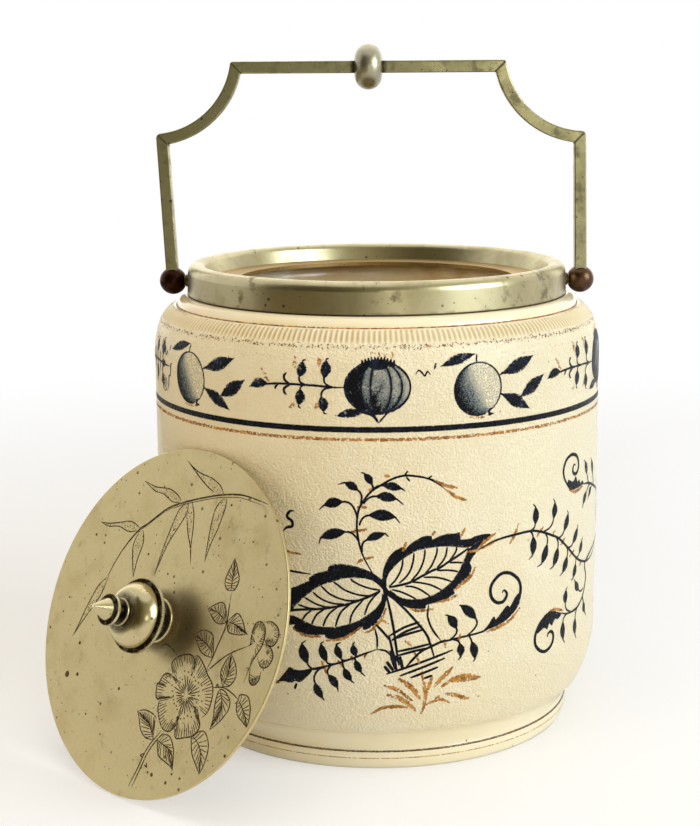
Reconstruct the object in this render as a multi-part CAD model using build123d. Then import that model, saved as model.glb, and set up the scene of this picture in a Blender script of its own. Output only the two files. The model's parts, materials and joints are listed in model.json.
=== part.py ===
"""Biscuit jar: a stoneware barrel with a plated mount, a swinging bail and a lift-off lid.

Millimetres, +Z up.  The origin is on the jar's own axis, in the plane that its foot stands on.
The bail stands upright over the mouth, in the XZ plane.  The lid is off: it stands on its edge
at the front left and leans back against the jar's side.
"""

from build123d import *
import math
import os

# --- driving dimensions: the mouth and the lid ---------------------------------------------------
mouth_radius = 45.0        # clear opening inside the ledge
ledge_width = 9.2          # flat ledge that the lid drops onto
lid_clearance = 1.5        # radial play of the lid in its recess
lid_thickness = 1.2
lid_edge_round = 0.3
lid_lean = 22.4            # degrees that the leaning lid tips back from upright
lid_bearing = -44.1        # degrees round the jar from the front (-Y), negative to the left
lid_rest_gap = 0.3         # between the leaning lid and the jar's side

# --- driving dimensions: the spun mount ----------------------------------------------------------
sheet = 1.0                # thickness of the spun metal
seat_depth = 5.2           # from the crown of the rim down to the ledge
rim_width = 7.3            # from the edge of the ledge out to the foot of the collar
rim_height = 9.9           # outside height of the collar
rim_taper = 0.4            # the collar's wall leans in by this much
rim_crown = 5.1            # width of the crown, which its two rolled corners nearly fill
rim_outer_roll = 2.9
rim_inner_roll = 2.0
lip_drop = 1.3             # depth of the turned-down lip at the mouth
seat_ring_lap = 0.6        # the ledge reaches this far under the foot of the inner slope
solder_gap = 0.05          # film of solder, plaster or cement between pieces that are fixed

# --- driving dimensions: the stoneware body ------------------------------------------------------
bedding = 2.0              # plaster between the neck and the collar
neck_wall = 6.4
moulding_height = 3.1      # rounded moulding that the collar stands on
moulding_overhang = 3.5    # how far the moulding stands out beyond the collar
moulding_ledge = 0.5       # flat left outside the collar on top of the moulding
moulding_bulge = 0.8
shoulder_run = 7.5         # spread of the shoulder, from the moulding out to the side
shoulder_rise = 15.0
side_height = 88.5         # upright part of the side
tuck_height = 19.0         # below it the side tucks in
tuck_run = 4.5
cove_height = 8.2          # glazed hollow above the foot ring
cove_hollow = 0.8
cove_step = 0.8            # the foot ring's edge stands out this far from the hollow
foot_inset = 9.0           # foot ring inside the side
foot_height = 5.8
foot_round = 1.1           # the foot ring rounds under by this much
foot_top_round = 0.2       # and draws in by this much at its top edge
foot_width = 5.5
foot_recess = 2.2          # the underside is raised this much inside the foot ring
body_wall = 6.0
roof_drop = 2.0            # the inside starts to close in this far below the shoulder
roof_rise = 14.0
floor_thickness = 7.0
inner_corner = 16.0        # radius between wall and floor inside

# --- driving dimensions: the pivots --------------------------------------------------------------
pivot_height = 3.7         # pivot above the foot of the collar
pin_radius = 1.3
pin_fixed_fit = 0.03       # radial clearance where the pin is fast in the collar
pin_running_fit = 0.06     # radial clearance in the ball that turns on it
pin_end_play = 0.5
pin_end_chamfer = 0.3
pin_in_ball = 4.6
pin_head_radius = 2.3
pin_head_height = 1.0
pin_head_gap = 0.25        # the flat head stands off the round inside of the collar
boss_radius = 2.0
boss_reach = 0.9           # how far the boss stands off the collar
boss_chamfer = 0.2
ball_radius = 4.4
ball_flat = 3.85           # from the ball's centre to its flat inner face
ball_side_play = 0.25      # between the boss and the ball

# --- driving dimensions: the bail ----------------------------------------------------------------
bar_width = 3.85           # bar, seen from the front
bar_depth = 4.4            # bar, front to back
bar_edge_round = 0.45
shoulder_round = 1.8       # outside of the mitre between upright and scroll
corner_round = 1.2         # outside of the mitre between scroll and top bar
bail_rise = 68.1           # pivot to the middle of the top bar
upright_rise = 45.7        # pivot to the corner where the scroll starts
upright_flare = 0.6        # the uprights spread as they rise
scroll_run = 24.75         # width that each scroll steps in
scroll_radius = 27.75      # round the scroll, at the middle of the bar
bail_lean = 2.4            # the bail has been pushed this far to the left at its top
upright_socket = 1.1       # depth of the socket in the ball's crown
bead_half_length = 4.65
bead_radius = 7.15
bead_rim_round = 4.3       # radius of the bead's rounded rim
bead_shift = 0.1           # the bead sits this far right of the middle of the top bar

# --- driving dimensions: the finial, from the lid upwards ----------------------------------------
stud_radius = 1.5
stud_fit = 0.05
base_ring_radius = 7.0
base_ring_height = 1.9
base_ring_round = 0.8
waist_foot_radius = 5.2
waist_radius = 3.9
waist_head_radius = 6.4
waist_height = 6.2
waist_level = 3.0          # height of the narrowest place
flange_radius = 11.2
flange_height = 1.2
flange_notches = 96
dome_radius = 9.9
dome_skirt = 0.8
dome_height = 5.9
dome_top_radius = 4.9
neck_ring_radius = 4.2
neck_ring_height = 1.2
neck_stem_radius = 2.6
neck_stem_height = 3.0
small_ring_radius = 4.7
small_ring_height = 1.1
small_ring_notches = 48
notch_depth = 0.28
tip_radius = 3.3
tip_skirt = 0.5
tip_height = 6.5
tip_nose_radius = 0.5
stud_in_tip = 2.4
stud_chamfer = 0.3
washer_radius = 5.0
washer_height = 0.8
nut_across_flats = 7.0
nut_height = 2.6
nut_corner_cut = 0.8
stud_beyond_nut = 0.9

# --- sizes that follow from them -----------------------------------------------------------------
seat_radius = mouth_radius + ledge_width
lid_radius = seat_radius - lid_clearance
collar_radius = seat_radius + rim_width
collar_top_radius = collar_radius - rim_taper
neck_radius = collar_top_radius - sheet - bedding
moulding_radius = collar_radius + moulding_overhang
body_radius = moulding_radius + shoulder_run
foot_radius = body_radius - foot_inset

z_cove_top = foot_height + cove_height
z_side_foot = z_cove_top + tuck_height
z_side_top = z_side_foot + side_height
z_moulding = z_side_top + shoulder_rise
z_collar = z_moulding + moulding_height
z_rim = z_collar + rim_height
z_ledge = z_rim - seat_depth
z_neck_top = z_ledge - sheet - solder_gap
z_pivot = z_collar + pivot_height
z_floor = foot_recess + floor_thickness

wall_at_pivot = collar_radius - rim_taper * pivot_height / rim_height
boss_face = wall_at_pivot + boss_reach
ball_inner_face = boss_face + ball_side_play
ball_x = ball_inner_face + ball_flat
bore = stud_radius + stud_fit


# --- ways of making a solid ----------------------------------------------------------------------

def turned(*lines):
    """Solid turned about Z from a closed half section, drawn as (radius, height)."""
    return revolve(Plane.XZ * make_face(lines), Axis.Z)


def turned_polygon(*corners):
    """Solid turned about Z from a half section with straight sides."""
    return turned(Polyline(*corners, close=True))


def bulged(start, end, rise):
    """Arc from start to end that stands off its chord by rise, to the right of its direction."""
    run, climb = end[0] - start[0], end[1] - start[1]
    chord = math.hypot(run, climb)
    middle = (
        (start[0] + end[0]) / 2 + climb / chord * rise,
        (start[1] + end[1]) / 2 - run / chord * rise,
    )
    return ThreePointArc(start, middle, end)


def outwards(side):
    """Frame on the pivot axis whose Z runs from the jar's axis to the left (-1) or right (1)."""
    return Plane(origin=(0, 0, z_pivot), x_dir=(0, 1, 0), z_dir=(side, 0, 0))


def rod(radius, start, end):
    """Round rod along Z from start to end."""
    return Pos(0, 0, start) * Cylinder(
        radius, end - start, align=(Align.CENTER, Align.CENTER, Align.MIN)
    )


# --- the stoneware body --------------------------------------------------------------------------

def jar_body():
    """Barrel in one piece: foot ring, glazed hollow, tucked side, shoulder, moulding and neck."""
    foot_edge = (foot_radius - foot_top_round, foot_height)
    foot_middle = (foot_radius, foot_height / 2)
    foot_outer = (foot_radius - foot_round, 0)
    foot_inner = foot_outer[0] - foot_width
    hollow_foot = (foot_radius - cove_step, foot_height + cove_step)
    hollow_top = (body_radius - tuck_run, z_cove_top)
    moulding_top = collar_radius + moulding_ledge
    neck_inner = neck_radius - neck_wall
    body_inner = body_radius - body_wall
    z_roof = z_side_top - roof_drop
    corner = (body_inner - inner_corner, z_floor)
    return turned(
        ThreePointArc(foot_outer, foot_middle, foot_edge),
        Line(foot_edge, hollow_foot),
        bulged(hollow_foot, hollow_top, -cove_hollow),
        TangentArc((body_radius, z_side_foot), hollow_top, tangent=(0, -1)),
        Line((body_radius, z_side_foot), (body_radius, z_side_top)),
        EllipticalCenterArc(
            (moulding_radius, z_side_top), shoulder_run, shoulder_rise, arc_size=90
        ),
        bulged((moulding_radius, z_moulding), (moulding_top, z_collar), moulding_bulge),
        Polyline(
            (moulding_top, z_collar),
            (neck_radius, z_collar),
            (neck_radius, z_neck_top),
            (neck_inner, z_neck_top),
            (neck_inner, z_roof + roof_rise),
        ),
        EllipticalCenterArc(
            (neck_inner, z_roof), body_inner - neck_inner, roof_rise, arc_size=90
        ),
        Line((body_inner, z_roof), (body_inner, z_floor + inner_corner)),
        TangentArc((body_inner, z_floor + inner_corner), corner, tangent=(0, -1)),
        Polyline(
            corner,
            (0, z_floor),
            (0, foot_recess),
            (foot_inner - foot_recess, foot_recess),
            (foot_inner, 0),
            foot_outer,
        ),
    )


# --- the spun mount ------------------------------------------------------------------------------

def rim_outline(inset):
    """Outline of the rim from the collar's foot over the crown to the ledge, inset into it.

    Each roll takes up no more than its share of the crown, so that a narrow crown still closes.
    """
    outer_share, inner_share, least_roll = 0.6, 0.8, 0.1
    slope_run = collar_top_radius - rim_crown - seat_radius
    slope = math.atan2(seat_depth, slope_run)
    slope_foot = seat_radius + inset / math.sin(slope)
    slope_top = slope_foot + (seat_depth - inset) / math.tan(slope)
    outer_roll = max(min(rim_outer_roll, outer_share * rim_crown) - inset, least_roll)
    inner_roll = max(min(rim_inner_roll, inner_share * rim_crown) - inset, least_roll)
    corners = (
        (collar_radius - inset, z_collar),
        (collar_top_radius - inset, z_rim - inset),
        (slope_top, z_rim - inset),
        (slope_foot, z_ledge),
    )
    return corners, FilletPolyline(*corners, radius=(outer_roll, inner_roll))


def seat_ring_edge():
    """Outer radius of the seat ring, far enough under the foot of the rim to be soldered to it."""
    inner_corners, _ = rim_outline(sheet)
    return inner_corners[-1][0] + seat_ring_lap


def rim_envelope(growth):
    """Solid that fills the rim's outline out from the jar's axis, grown by a clearance."""
    corners, outline = rim_outline(-growth)
    return turned(outline, Polyline(corners[-1], (0, z_ledge), (0, z_collar), corners[0]))


def rim_collar():
    """Collar, rolled crown and inner slope, spun from one sheet, with a hole at each pivot."""
    outer_corners, outer = rim_outline(0)
    inner_corners, inner = rim_outline(sheet)
    collar = turned(
        outer,
        Line(outer_corners[-1], inner_corners[-1]),
        inner,
        Line(inner_corners[0], outer_corners[0]),
    )
    for side in (-1, 1):
        hole = rod(pin_radius + pin_fixed_fit, neck_radius, boss_face)
        collar -= outwards(side) * hole
    return collar


def lid_seat_ring():
    """Flat ledge that the lid drops onto, turned down into a lip round the mouth."""
    edge = seat_ring_edge()
    return turned_polygon(
        (mouth_radius, z_ledge),
        (edge, z_ledge),
        (edge, z_ledge - sheet),
        (mouth_radius + sheet, z_ledge - sheet),
        (mouth_radius + sheet, z_ledge - lip_drop),
        (mouth_radius, z_ledge - lip_drop),
    )


def pin_head_ends():
    """Distances from the jar's axis to the two faces of a pin's head, inside the collar."""
    face = wall_at_pivot - sheet - pin_head_gap
    return face - pin_head_height, face


def plaster_bedding():
    """Plaster that fills the rim round the neck and beds the heads of the two pins."""
    corners, outline = rim_outline(sheet + solder_gap)
    ring_edge = seat_ring_edge() + solder_gap
    neck = neck_radius + solder_gap
    fill = turned(
        outline,
        Polyline(
            corners[-1],
            (ring_edge, z_ledge),
            (ring_edge, z_neck_top + solder_gap),
            (neck, z_neck_top + solder_gap),
            (neck, z_collar),
            corners[0],
        ),
    )
    head_start, head_end = pin_head_ends()
    pocket = rod(pin_head_radius + solder_gap, head_start - solder_gap, collar_radius)
    for side in (-1, 1):
        fill -= outwards(side) * pocket
    return fill


# --- the pivots ----------------------------------------------------------------------------------

def pivot_pin(side):
    """Headed pin: its head is bedded behind the collar and its end carries the ball."""
    head_start, head_end = pin_head_ends()
    pin_end = ball_inner_face + pin_in_ball
    shank = rod(pin_radius, head_start, pin_end)
    shank = chamfer(shank.edges().sort_by(Axis.Z)[-1], pin_end_chamfer)
    return outwards(side) * (shank + rod(pin_head_radius, head_start, head_end))


def pivot_boss(side):
    """Short collar round the pin, saddled onto the mount and soldered there."""
    boss = rod(boss_radius, neck_radius, boss_face)
    boss = chamfer(boss.edges().sort_by(Axis.Z)[-1], boss_chamfer)
    boss -= rod(pin_radius + pin_fixed_fit, neck_radius, boss_face)
    return outwards(side) * boss - rim_envelope(solder_gap)


# --- the bail ------------------------------------------------------------------------------------

def bail_point(x, rise):
    """Point in the bail's plane, this high above the pivots, with the bail pushed to the left."""
    return Vector(x - bail_lean * rise / bail_rise, 0, z_pivot + rise)


def bail_corners(side):
    """Pivot, shoulder and top corner of one side of the bail, at the middle of the bar."""
    upright_x = ball_x + upright_flare
    pivot = bail_point(side * ball_x, 0)
    shoulder = bail_point(side * upright_x, upright_rise)
    corner = bail_point(side * (upright_x - scroll_run), bail_rise)
    return pivot, shoulder, corner


def bar_section():
    """Cross-section of the bail's bar with its long edges eased."""
    return RectangleRounded(bar_width, bar_depth, bar_edge_round)


def bar_frame(point, direction):
    """Frame for a section of the bar: X across the bar in the bail's plane, Y front to back."""
    direction = direction.normalized()
    return Plane(origin=point, x_dir=direction.cross(Vector(0, 1, 0)), z_dir=direction)


def straight_bar(start, end, run_on=bar_width):
    """Bar from start to end that runs on past both, ready to be mitred."""
    along = (end - start).normalized()
    length = (end - start).length + 2 * run_on
    return extrude(bar_frame(start - along * run_on, along) * bar_section(), length)


def scroll_centre(shoulder, corner):
    """Centre of the quarter curve between the shoulder and the corner, above and outside it."""
    chord = corner - shoulder
    outward = Vector(math.copysign(1, shoulder.X - corner.X), 0, 0)
    across = Vector(-chord.Z, 0, chord.X).normalized()
    if across.dot(outward) < 0:
        across = -across
    return (shoulder + corner) / 2 + across * math.sqrt(scroll_radius**2 - (chord.length / 2) ** 2)


def scroll_tangent(point, centre, towards):
    """Direction of the curve at a point of it, on the way to another point of it."""
    spoke = point - centre
    tangent = Vector(-spoke.Z, 0, spoke.X).normalized()
    return tangent if tangent.dot(towards - point) > 0 else -tangent


def mitred(bar, joint, own_direction, other_direction):
    """Bar cut at the joint by the plane halfway between its own direction and the other bar's."""
    own, other = own_direction.normalized(), other_direction.normalized()
    return split(bar, bisect_by=Plane(origin=joint, z_dir=own - other), keep=Keep.TOP)


def corner_waste(joint, straight, scroll, centre, radius):
    """Waste outside the rounded corner of a mitre between a straight bar and a scroll.

    The round touches the straight bar's outer face and the face of the scroll that is nearest
    the scroll's centre.
    """
    straight = straight.normalized()
    inward = (scroll - straight * scroll.dot(straight)).normalized()
    offset = joint - inward * (bar_width / 2 - radius) - centre
    reach = scroll_radius - bar_width / 2 + radius
    back = offset.dot(straight)
    middle = centre + offset + straight * (
        math.sqrt(back**2 - offset.dot(offset) + reach**2) - back
    )
    on_straight = inward * -radius
    on_scroll = (centre - middle).normalized() * radius
    crest = (on_straight + on_scroll).normalized() * radius
    waste = make_face(
        [
            ThreePointArc(middle + on_straight, middle + crest, middle + on_scroll),
            Polyline(
                middle + on_scroll,
                middle + 2 * on_scroll,
                middle + 3 * crest,
                middle + 2 * on_straight,
                middle + on_straight,
            ),
        ]
    )
    return extrude(waste, bar_depth, both=True)


def shoulder_waste(side):
    """Waste outside the rounded corner between upright and scroll."""
    pivot, shoulder, corner = bail_corners(side)
    centre = scroll_centre(shoulder, corner)
    scroll = scroll_tangent(shoulder, centre, corner)
    return corner_waste(shoulder, pivot - shoulder, scroll, centre, shoulder_round)


def top_corner_waste(side):
    """Waste outside the rounded corner between scroll and top bar."""
    _, shoulder, corner = bail_corners(side)
    centre = scroll_centre(shoulder, corner)
    scroll = scroll_tangent(corner, centre, shoulder)
    return corner_waste(corner, bail_corners(-side)[2] - corner, scroll, centre, corner_round)


def scroll_bar(side):
    """Quarter curve between upright and top bar, mitred at both ends."""
    pivot, shoulder, corner = bail_corners(side)
    centre = scroll_centre(shoulder, corner)
    at_corner = scroll_tangent(corner, centre, shoulder)
    at_shoulder = scroll_tangent(shoulder, centre, corner)
    sweep_angle = 2 * math.degrees(math.asin((corner - shoulder).length / 2 / scroll_radius))
    run_on = math.degrees(bar_width / scroll_radius)
    turn = math.copysign(1, (corner - centre).cross(shoulder - centre).Y)
    axis = Axis(centre, (0, turn, 0))
    section = bar_frame(corner, at_corner) * bar_section()
    curve = revolve(section.rotate(axis, -run_on), axis, sweep_angle + 2 * run_on)
    other_corner = bail_corners(-side)[2]
    curve = mitred(curve, corner, at_corner, other_corner - corner)
    curve = mitred(curve, shoulder, at_shoulder, pivot - shoulder)
    return curve - shoulder_waste(side) - top_corner_waste(side)


def top_bar():
    """Straight bar over the mouth that the hand takes hold of, mitred at both ends."""
    corners = {side: bail_corners(side)[2] for side in (-1, 1)}
    bar = straight_bar(corners[-1], corners[1])
    for side in (-1, 1):
        _, shoulder, corner = bail_corners(side)
        scroll = scroll_tangent(corner, scroll_centre(shoulder, corner), shoulder)
        bar = mitred(bar, corner, corners[-side] - corner, scroll) - top_corner_waste(side)
    return bar


def upright_bar(side):
    """Side of the bail, mitred to the scroll and let into the crown of its ball."""
    pivot, shoulder, corner = bail_corners(side)
    scroll = scroll_tangent(shoulder, scroll_centre(shoulder, corner), corner)
    bar = mitred(straight_bar(pivot, shoulder), shoulder, pivot - shoulder, scroll)
    bar -= shoulder_waste(side)
    along = (shoulder - pivot).normalized()
    foot = pivot + along * (ball_radius - upright_socket)
    return split(bar, bisect_by=Plane(origin=foot, z_dir=along), keep=Keep.TOP)


def pivot_ball(side):
    """Ball that turns on the pin: flat and drilled on the inside, socketed on top for the bar."""
    ball = Pos(0, 0, ball_x) * Sphere(ball_radius)
    ball -= rod(2 * ball_radius, ball_x - 2 * ball_radius, ball_inner_face)
    ball -= rod(
        pin_radius + pin_running_fit, ball_inner_face, ball_inner_face + pin_in_ball + pin_end_play
    )
    pivot, shoulder, _ = bail_corners(side)
    along = (shoulder - pivot).normalized()
    foot = pivot + along * (ball_radius - upright_socket)
    width = bar_width + 2 * solder_gap
    depth = bar_depth + 2 * solder_gap
    socket = extrude(bar_frame(foot, along) * Rectangle(width, depth), ball_radius)
    return outwards(side) * ball - socket


def bead_outline():
    """Upper half of the bead's outline: a rounded rim between two flatter flanks."""
    rim_round = min(bead_rim_round, 0.95 * bead_half_length)
    rim_centre = bead_radius - rim_round
    flank_radius = (rim_centre**2 + bead_half_length**2 - rim_round**2) / (
        2 * (bead_half_length - rim_round)
    )
    flank_centre = bead_half_length - flank_radius
    reach = flank_radius / (flank_radius - rim_round)
    blend = (flank_centre - flank_centre * reach, rim_centre * reach)
    other_blend = (-blend[0], blend[1])
    pole, other_pole = (bead_half_length, 0), (-bead_half_length, 0)
    return (
        TangentArc(pole, blend, tangent=(0, 1)),
        ThreePointArc(blend, (0, bead_radius), other_blend),
        TangentArc(other_pole, other_blend, tangent=(0, 1)),
        Line(other_pole, pole),
    )


def handle_bead():
    """Flattened bead threaded on the top bar and soldered at its middle."""
    left, right = bail_corners(-1)[2], bail_corners(1)[2]
    along = (right - left).normalized()
    middle = Pos(*((left + right) / 2 + along * bead_shift))
    width = bar_width + 2 * solder_gap
    depth = bar_depth + 2 * solder_gap
    run = 2 * bead_half_length
    start = (left + right) / 2 - along * run
    hole = extrude(bar_frame(start, along) * Rectangle(width, depth), 2 * run)
    return middle * revolve(make_face(bead_outline()), Axis.X) - hole


# --- the lid and its finial ----------------------------------------------------------------------

def lid_frame():
    """Frame of the leaning lid: origin at the middle of its underside, Z out through the finial."""
    lean = math.radians(lid_lean)
    bearing = math.radians(lid_bearing)
    edge = lid_radius - lid_edge_round
    out = lid_rest_gap + body_radius + lid_edge_round
    out += edge * math.sin(lean) - lid_edge_round * math.cos(lean)
    up = lid_edge_round + edge * math.cos(lean) - lid_edge_round * math.sin(lean)
    radial = Vector(math.sin(bearing), -math.cos(bearing), 0)
    normal = radial * math.cos(lean) + Vector(0, 0, math.sin(lean))
    across = Vector(math.cos(bearing), math.sin(bearing), 0)
    return Plane(origin=radial * out + Vector(0, 0, up), x_dir=across, z_dir=normal)


def lid_plate():
    """Flat round plate with eased edges, drilled for the finial's stud."""
    plate = rod(lid_radius, 0, lid_thickness)
    most_round = 0.45 * lid_thickness
    plate = fillet(plate.edges(), min(lid_edge_round, most_round))
    return plate - rod(bore, 0, lid_thickness)


def base_ring():
    """Ring that the finial stands on."""
    round_start = (base_ring_radius, base_ring_height - base_ring_round)
    round_end = (base_ring_radius - base_ring_round, base_ring_height)
    quarter_rise = (1 - math.sqrt(0.5)) * base_ring_round
    return turned(
        Polyline((bore, base_ring_height), (bore, 0), (base_ring_radius, 0), round_start),
        bulged(round_start, round_end, quarter_rise),
        Line(round_end, (bore, base_ring_height)),
    )


def waist():
    """Hollowed stem between the base ring and the milled flange."""
    foot = (waist_foot_radius, 0)
    head = (waist_head_radius, waist_height)
    return turned(
        ThreePointArc(foot, (waist_radius, waist_level), head),
        Polyline(head, (bore, waist_height), (bore, 0), foot),
    )


def milled_disc(radius, height, notches):
    """Disc whose edge is milled all round with sharp notches, drilled for the stud."""
    step = math.pi / notches
    corners = []
    for count in range(2 * notches):
        reach = radius - notch_depth * (count % 2)
        corners.append((reach * math.cos(count * step), reach * math.sin(count * step)))
    disc = extrude(make_face(Polyline(*corners, close=True)), height)
    return disc - rod(bore, 0, height)


def dome():
    """Domed knob on a short upright skirt, flat at the top where the neck ring sits."""
    skirt = (dome_radius, dome_skirt)
    top = (dome_top_radius, dome_height)
    share = dome_top_radius / dome_radius
    crown = (dome_height - dome_skirt) / math.sqrt(1 - share**2)
    half_angle = math.acos(share) / 2
    middle = (dome_radius * math.cos(half_angle), dome_skirt + crown * math.sin(half_angle))
    return turned(
        ThreePointArc(skirt, middle, top),
        Polyline(top, (bore, dome_height), (bore, 0), (dome_radius, 0), skirt),
    )


def neck_ring():
    """Half-round ring under a slim stem."""
    ring_foot = (neck_ring_radius - neck_ring_height / 2, 0)
    ring_head = (neck_ring_radius - neck_ring_height / 2, neck_ring_height)
    height = neck_ring_height + neck_stem_height
    return turned(
        ThreePointArc(ring_foot, (neck_ring_radius, neck_ring_height / 2), ring_head),
        Polyline(
            ring_head,
            (neck_stem_radius, neck_ring_height),
            (neck_stem_radius, height),
            (bore, height),
            (bore, 0),
            ring_foot,
        ),
    )


def tip():
    """Pointed tip with a small ball nose, drilled blind for the end of the stud."""
    nose_middle = tip_height - tip_nose_radius
    nose_side = (tip_nose_radius, nose_middle)
    nose_shoulder = tip_nose_radius * math.sqrt(0.5)
    bore_end = stud_in_tip + stud_fit
    return turned(
        Polyline((bore, 0), (tip_radius, 0), (tip_radius, tip_skirt), nose_side),
        ThreePointArc(nose_side, (nose_shoulder, nose_middle + nose_shoulder), (0, tip_height)),
        Polyline((0, tip_height), (0, bore_end), (bore, bore_end), (bore, 0)),
    )


def washer():
    """Washer under the lid."""
    return rod(washer_radius, 0, washer_height) - rod(bore, 0, washer_height)


def nut():
    """Square nut with its corners taken off."""
    block = extrude(Rectangle(nut_across_flats, nut_across_flats), nut_height)
    block = chamfer(block.edges().filter_by(Axis.Z), nut_corner_cut)
    return block - rod(bore, 0, nut_height)


def stud(start, end):
    """Stud that holds the finial, washer and nut on the lid."""
    return chamfer(rod(stud_radius, start, end).edges().filter_by(GeomType.CIRCLE), stud_chamfer)


def lid_parts():
    """Lid plate, finial pieces stacked on its face and fixings under it, by node name."""
    stack = (
        ("finial_base_ring", base_ring(), base_ring_height),
        ("finial_waist", waist(), waist_height),
        (
            "finial_milled_flange",
            milled_disc(flange_radius, flange_height, flange_notches),
            flange_height,
        ),
        ("finial_dome", dome(), dome_height),
        ("finial_neck_ring", neck_ring(), neck_ring_height + neck_stem_height),
        (
            "finial_milled_ring",
            milled_disc(small_ring_radius, small_ring_height, small_ring_notches),
            small_ring_height,
        ),
        ("finial_tip", tip(), tip_height),
    )
    parts = {"lid_plate": lid_plate()}
    level = lid_thickness
    for name, piece, height in stack:
        parts[name] = Pos(0, 0, level) * piece
        level += height
    tip_foot = level - tip_height
    nut_foot = -washer_height - nut_height
    parts["finial_washer"] = Pos(0, 0, -washer_height) * washer()
    parts["finial_nut"] = Pos(0, 0, nut_foot) * nut()
    parts["finial_stud"] = stud(nut_foot - stud_beyond_nut, tip_foot + stud_in_tip)
    return parts


# --- the whole jar -------------------------------------------------------------------------------

nodes = {
    "jar_body": jar_body(),
    "plaster_bedding": plaster_bedding(),
    "rim_collar": rim_collar(),
    "lid_seat_ring": lid_seat_ring(),
    "top_bar": top_bar(),
    "handle_bead": handle_bead(),
}
for side_name, side in (("left", -1), ("right", 1)):
    nodes[f"pivot_pin_{side_name}"] = pivot_pin(side)
    nodes[f"pivot_boss_{side_name}"] = pivot_boss(side)
    nodes[f"pivot_ball_{side_name}"] = pivot_ball(side)
    nodes[f"upright_bar_{side_name}"] = upright_bar(side)
    nodes[f"scroll_bar_{side_name}"] = scroll_bar(side)
lid_place = lid_frame()
for name, piece in lid_parts().items():
    nodes[name] = lid_place * piece

os.makedirs("parts", exist_ok=True)
for name, solid in nodes.items():
    export_step(solid, f"parts/{name}.step")
print(f"{len(nodes)} nodes, {z_pivot + bail_rise + bead_radius:.1f} mm high to the top of the bead")
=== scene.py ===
"""Looks of the biscuit jar: stoneware, painting, plated mount, swinging bail and engraved lid.

The pieces follow in the order in which the jar is put together.  Lengths in the sections are
millimetres, as on the drawing, and become metres where a mesh is made.
"""

import json
import math

import bpy
import numpy as np
from mathutils import Matrix, Vector


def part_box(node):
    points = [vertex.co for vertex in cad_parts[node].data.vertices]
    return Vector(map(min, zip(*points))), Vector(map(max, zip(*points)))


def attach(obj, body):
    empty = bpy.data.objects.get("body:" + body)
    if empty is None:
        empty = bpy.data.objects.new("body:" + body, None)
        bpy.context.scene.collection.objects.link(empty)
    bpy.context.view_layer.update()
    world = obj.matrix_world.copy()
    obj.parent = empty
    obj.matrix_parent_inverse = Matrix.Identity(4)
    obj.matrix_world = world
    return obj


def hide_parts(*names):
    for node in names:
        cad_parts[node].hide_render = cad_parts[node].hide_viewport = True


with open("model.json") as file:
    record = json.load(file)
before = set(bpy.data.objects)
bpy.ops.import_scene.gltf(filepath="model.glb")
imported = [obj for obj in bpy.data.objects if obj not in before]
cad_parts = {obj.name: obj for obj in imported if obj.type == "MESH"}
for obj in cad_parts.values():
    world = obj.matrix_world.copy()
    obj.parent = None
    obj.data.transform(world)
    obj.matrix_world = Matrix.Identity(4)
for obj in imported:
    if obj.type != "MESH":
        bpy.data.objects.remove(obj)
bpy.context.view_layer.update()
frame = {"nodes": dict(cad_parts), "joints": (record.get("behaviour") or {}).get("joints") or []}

# --- Stoneware body -------------------------------------------------------------------------------
# Thrown and turned stoneware, dipped in cream glaze.  The ground is stippled like orange peel,
# the foot, the moulding and the inside are smooth, and a roulette has cut fine ribs round the top.

MM = 0.001
body_radius, foot_top_radius, foot_under = 72.5, 63.3, 62.4
foot_inner, recess_radius, recess_height = 56.9, 54.7, 2.2
foot_height, foot_bulge = 5.8, 0.62
cove_foot_radius, cove_foot, cove_top_radius, cove_top, cove_depth = 62.7, 6.6, 68.0, 14.0, 0.8
side_foot, side_top = 33.0, 121.5
shoulder_radius, shoulder_rise = 65.0, 15.0
moulding_top_radius, moulding_top, moulding_bulge = 62.0, 139.6, 0.8
neck_radius, neck_inner, neck_top = 58.1, 51.7, 143.25
wall_inner, roof_foot, roof_rise, floor_height, floor_corner = 66.5, 119.5, 14.0, 9.2, 16.0
pole_radius = 1.5                       # innermost circle of the mesh, which a fan closes
glaze_inset = 0.11                      # the glaze lies this far inside the paint's surface
rib_count, rib_depth = 270, 0.8
rib_foot, rib_head = 132.6, 136.35
rib_run_in, rib_run_out = 0.9, 0.35     # heights over which the ribs fade
columns_per_rib = 4
jar_columns = rib_count * columns_per_rib


def through(start, end, rise, count):
    """Arc of a circle from start to end, standing off its chord by rise, to the right of its way.

    With chord c the radius is (c*c/4 + rise*rise) / (2*rise); count points, the first left out.
    """
    start, end = np.array(start, float), np.array(end, float)
    chord = end - start
    length = np.hypot(*chord)
    along, across = chord / length, np.array([chord[1], -chord[0]]) / length
    radius = (length**2 / 4 + rise**2) / (2 * rise)
    half = math.asin(length / 2 / abs(radius))
    turn = np.linspace(-half, half, count + 1)[1:, None]
    middle = (start + end) / 2
    height = abs(radius) * (np.cos(turn) - math.cos(half)) * math.copysign(1, rise)
    return middle + abs(radius) * np.sin(turn) * along + height * across


def quarter(centre, run, climb, start, end, count):
    """Part of an ellipse, centre + (run cos a, climb sin a), from start to end degrees."""
    turn = np.radians(np.linspace(start, end, count + 1)[1:])
    return np.stack([centre[0] + run * np.cos(turn), centre[1] + climb * np.sin(turn)], axis=1)


def straight(start, end, count):
    """Evenly spaced points from start to end, the first left out."""
    share = np.linspace(0, 1, count + 1)[1:, None]
    return np.array(start) * (1 - share) + np.array(end) * share


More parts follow.
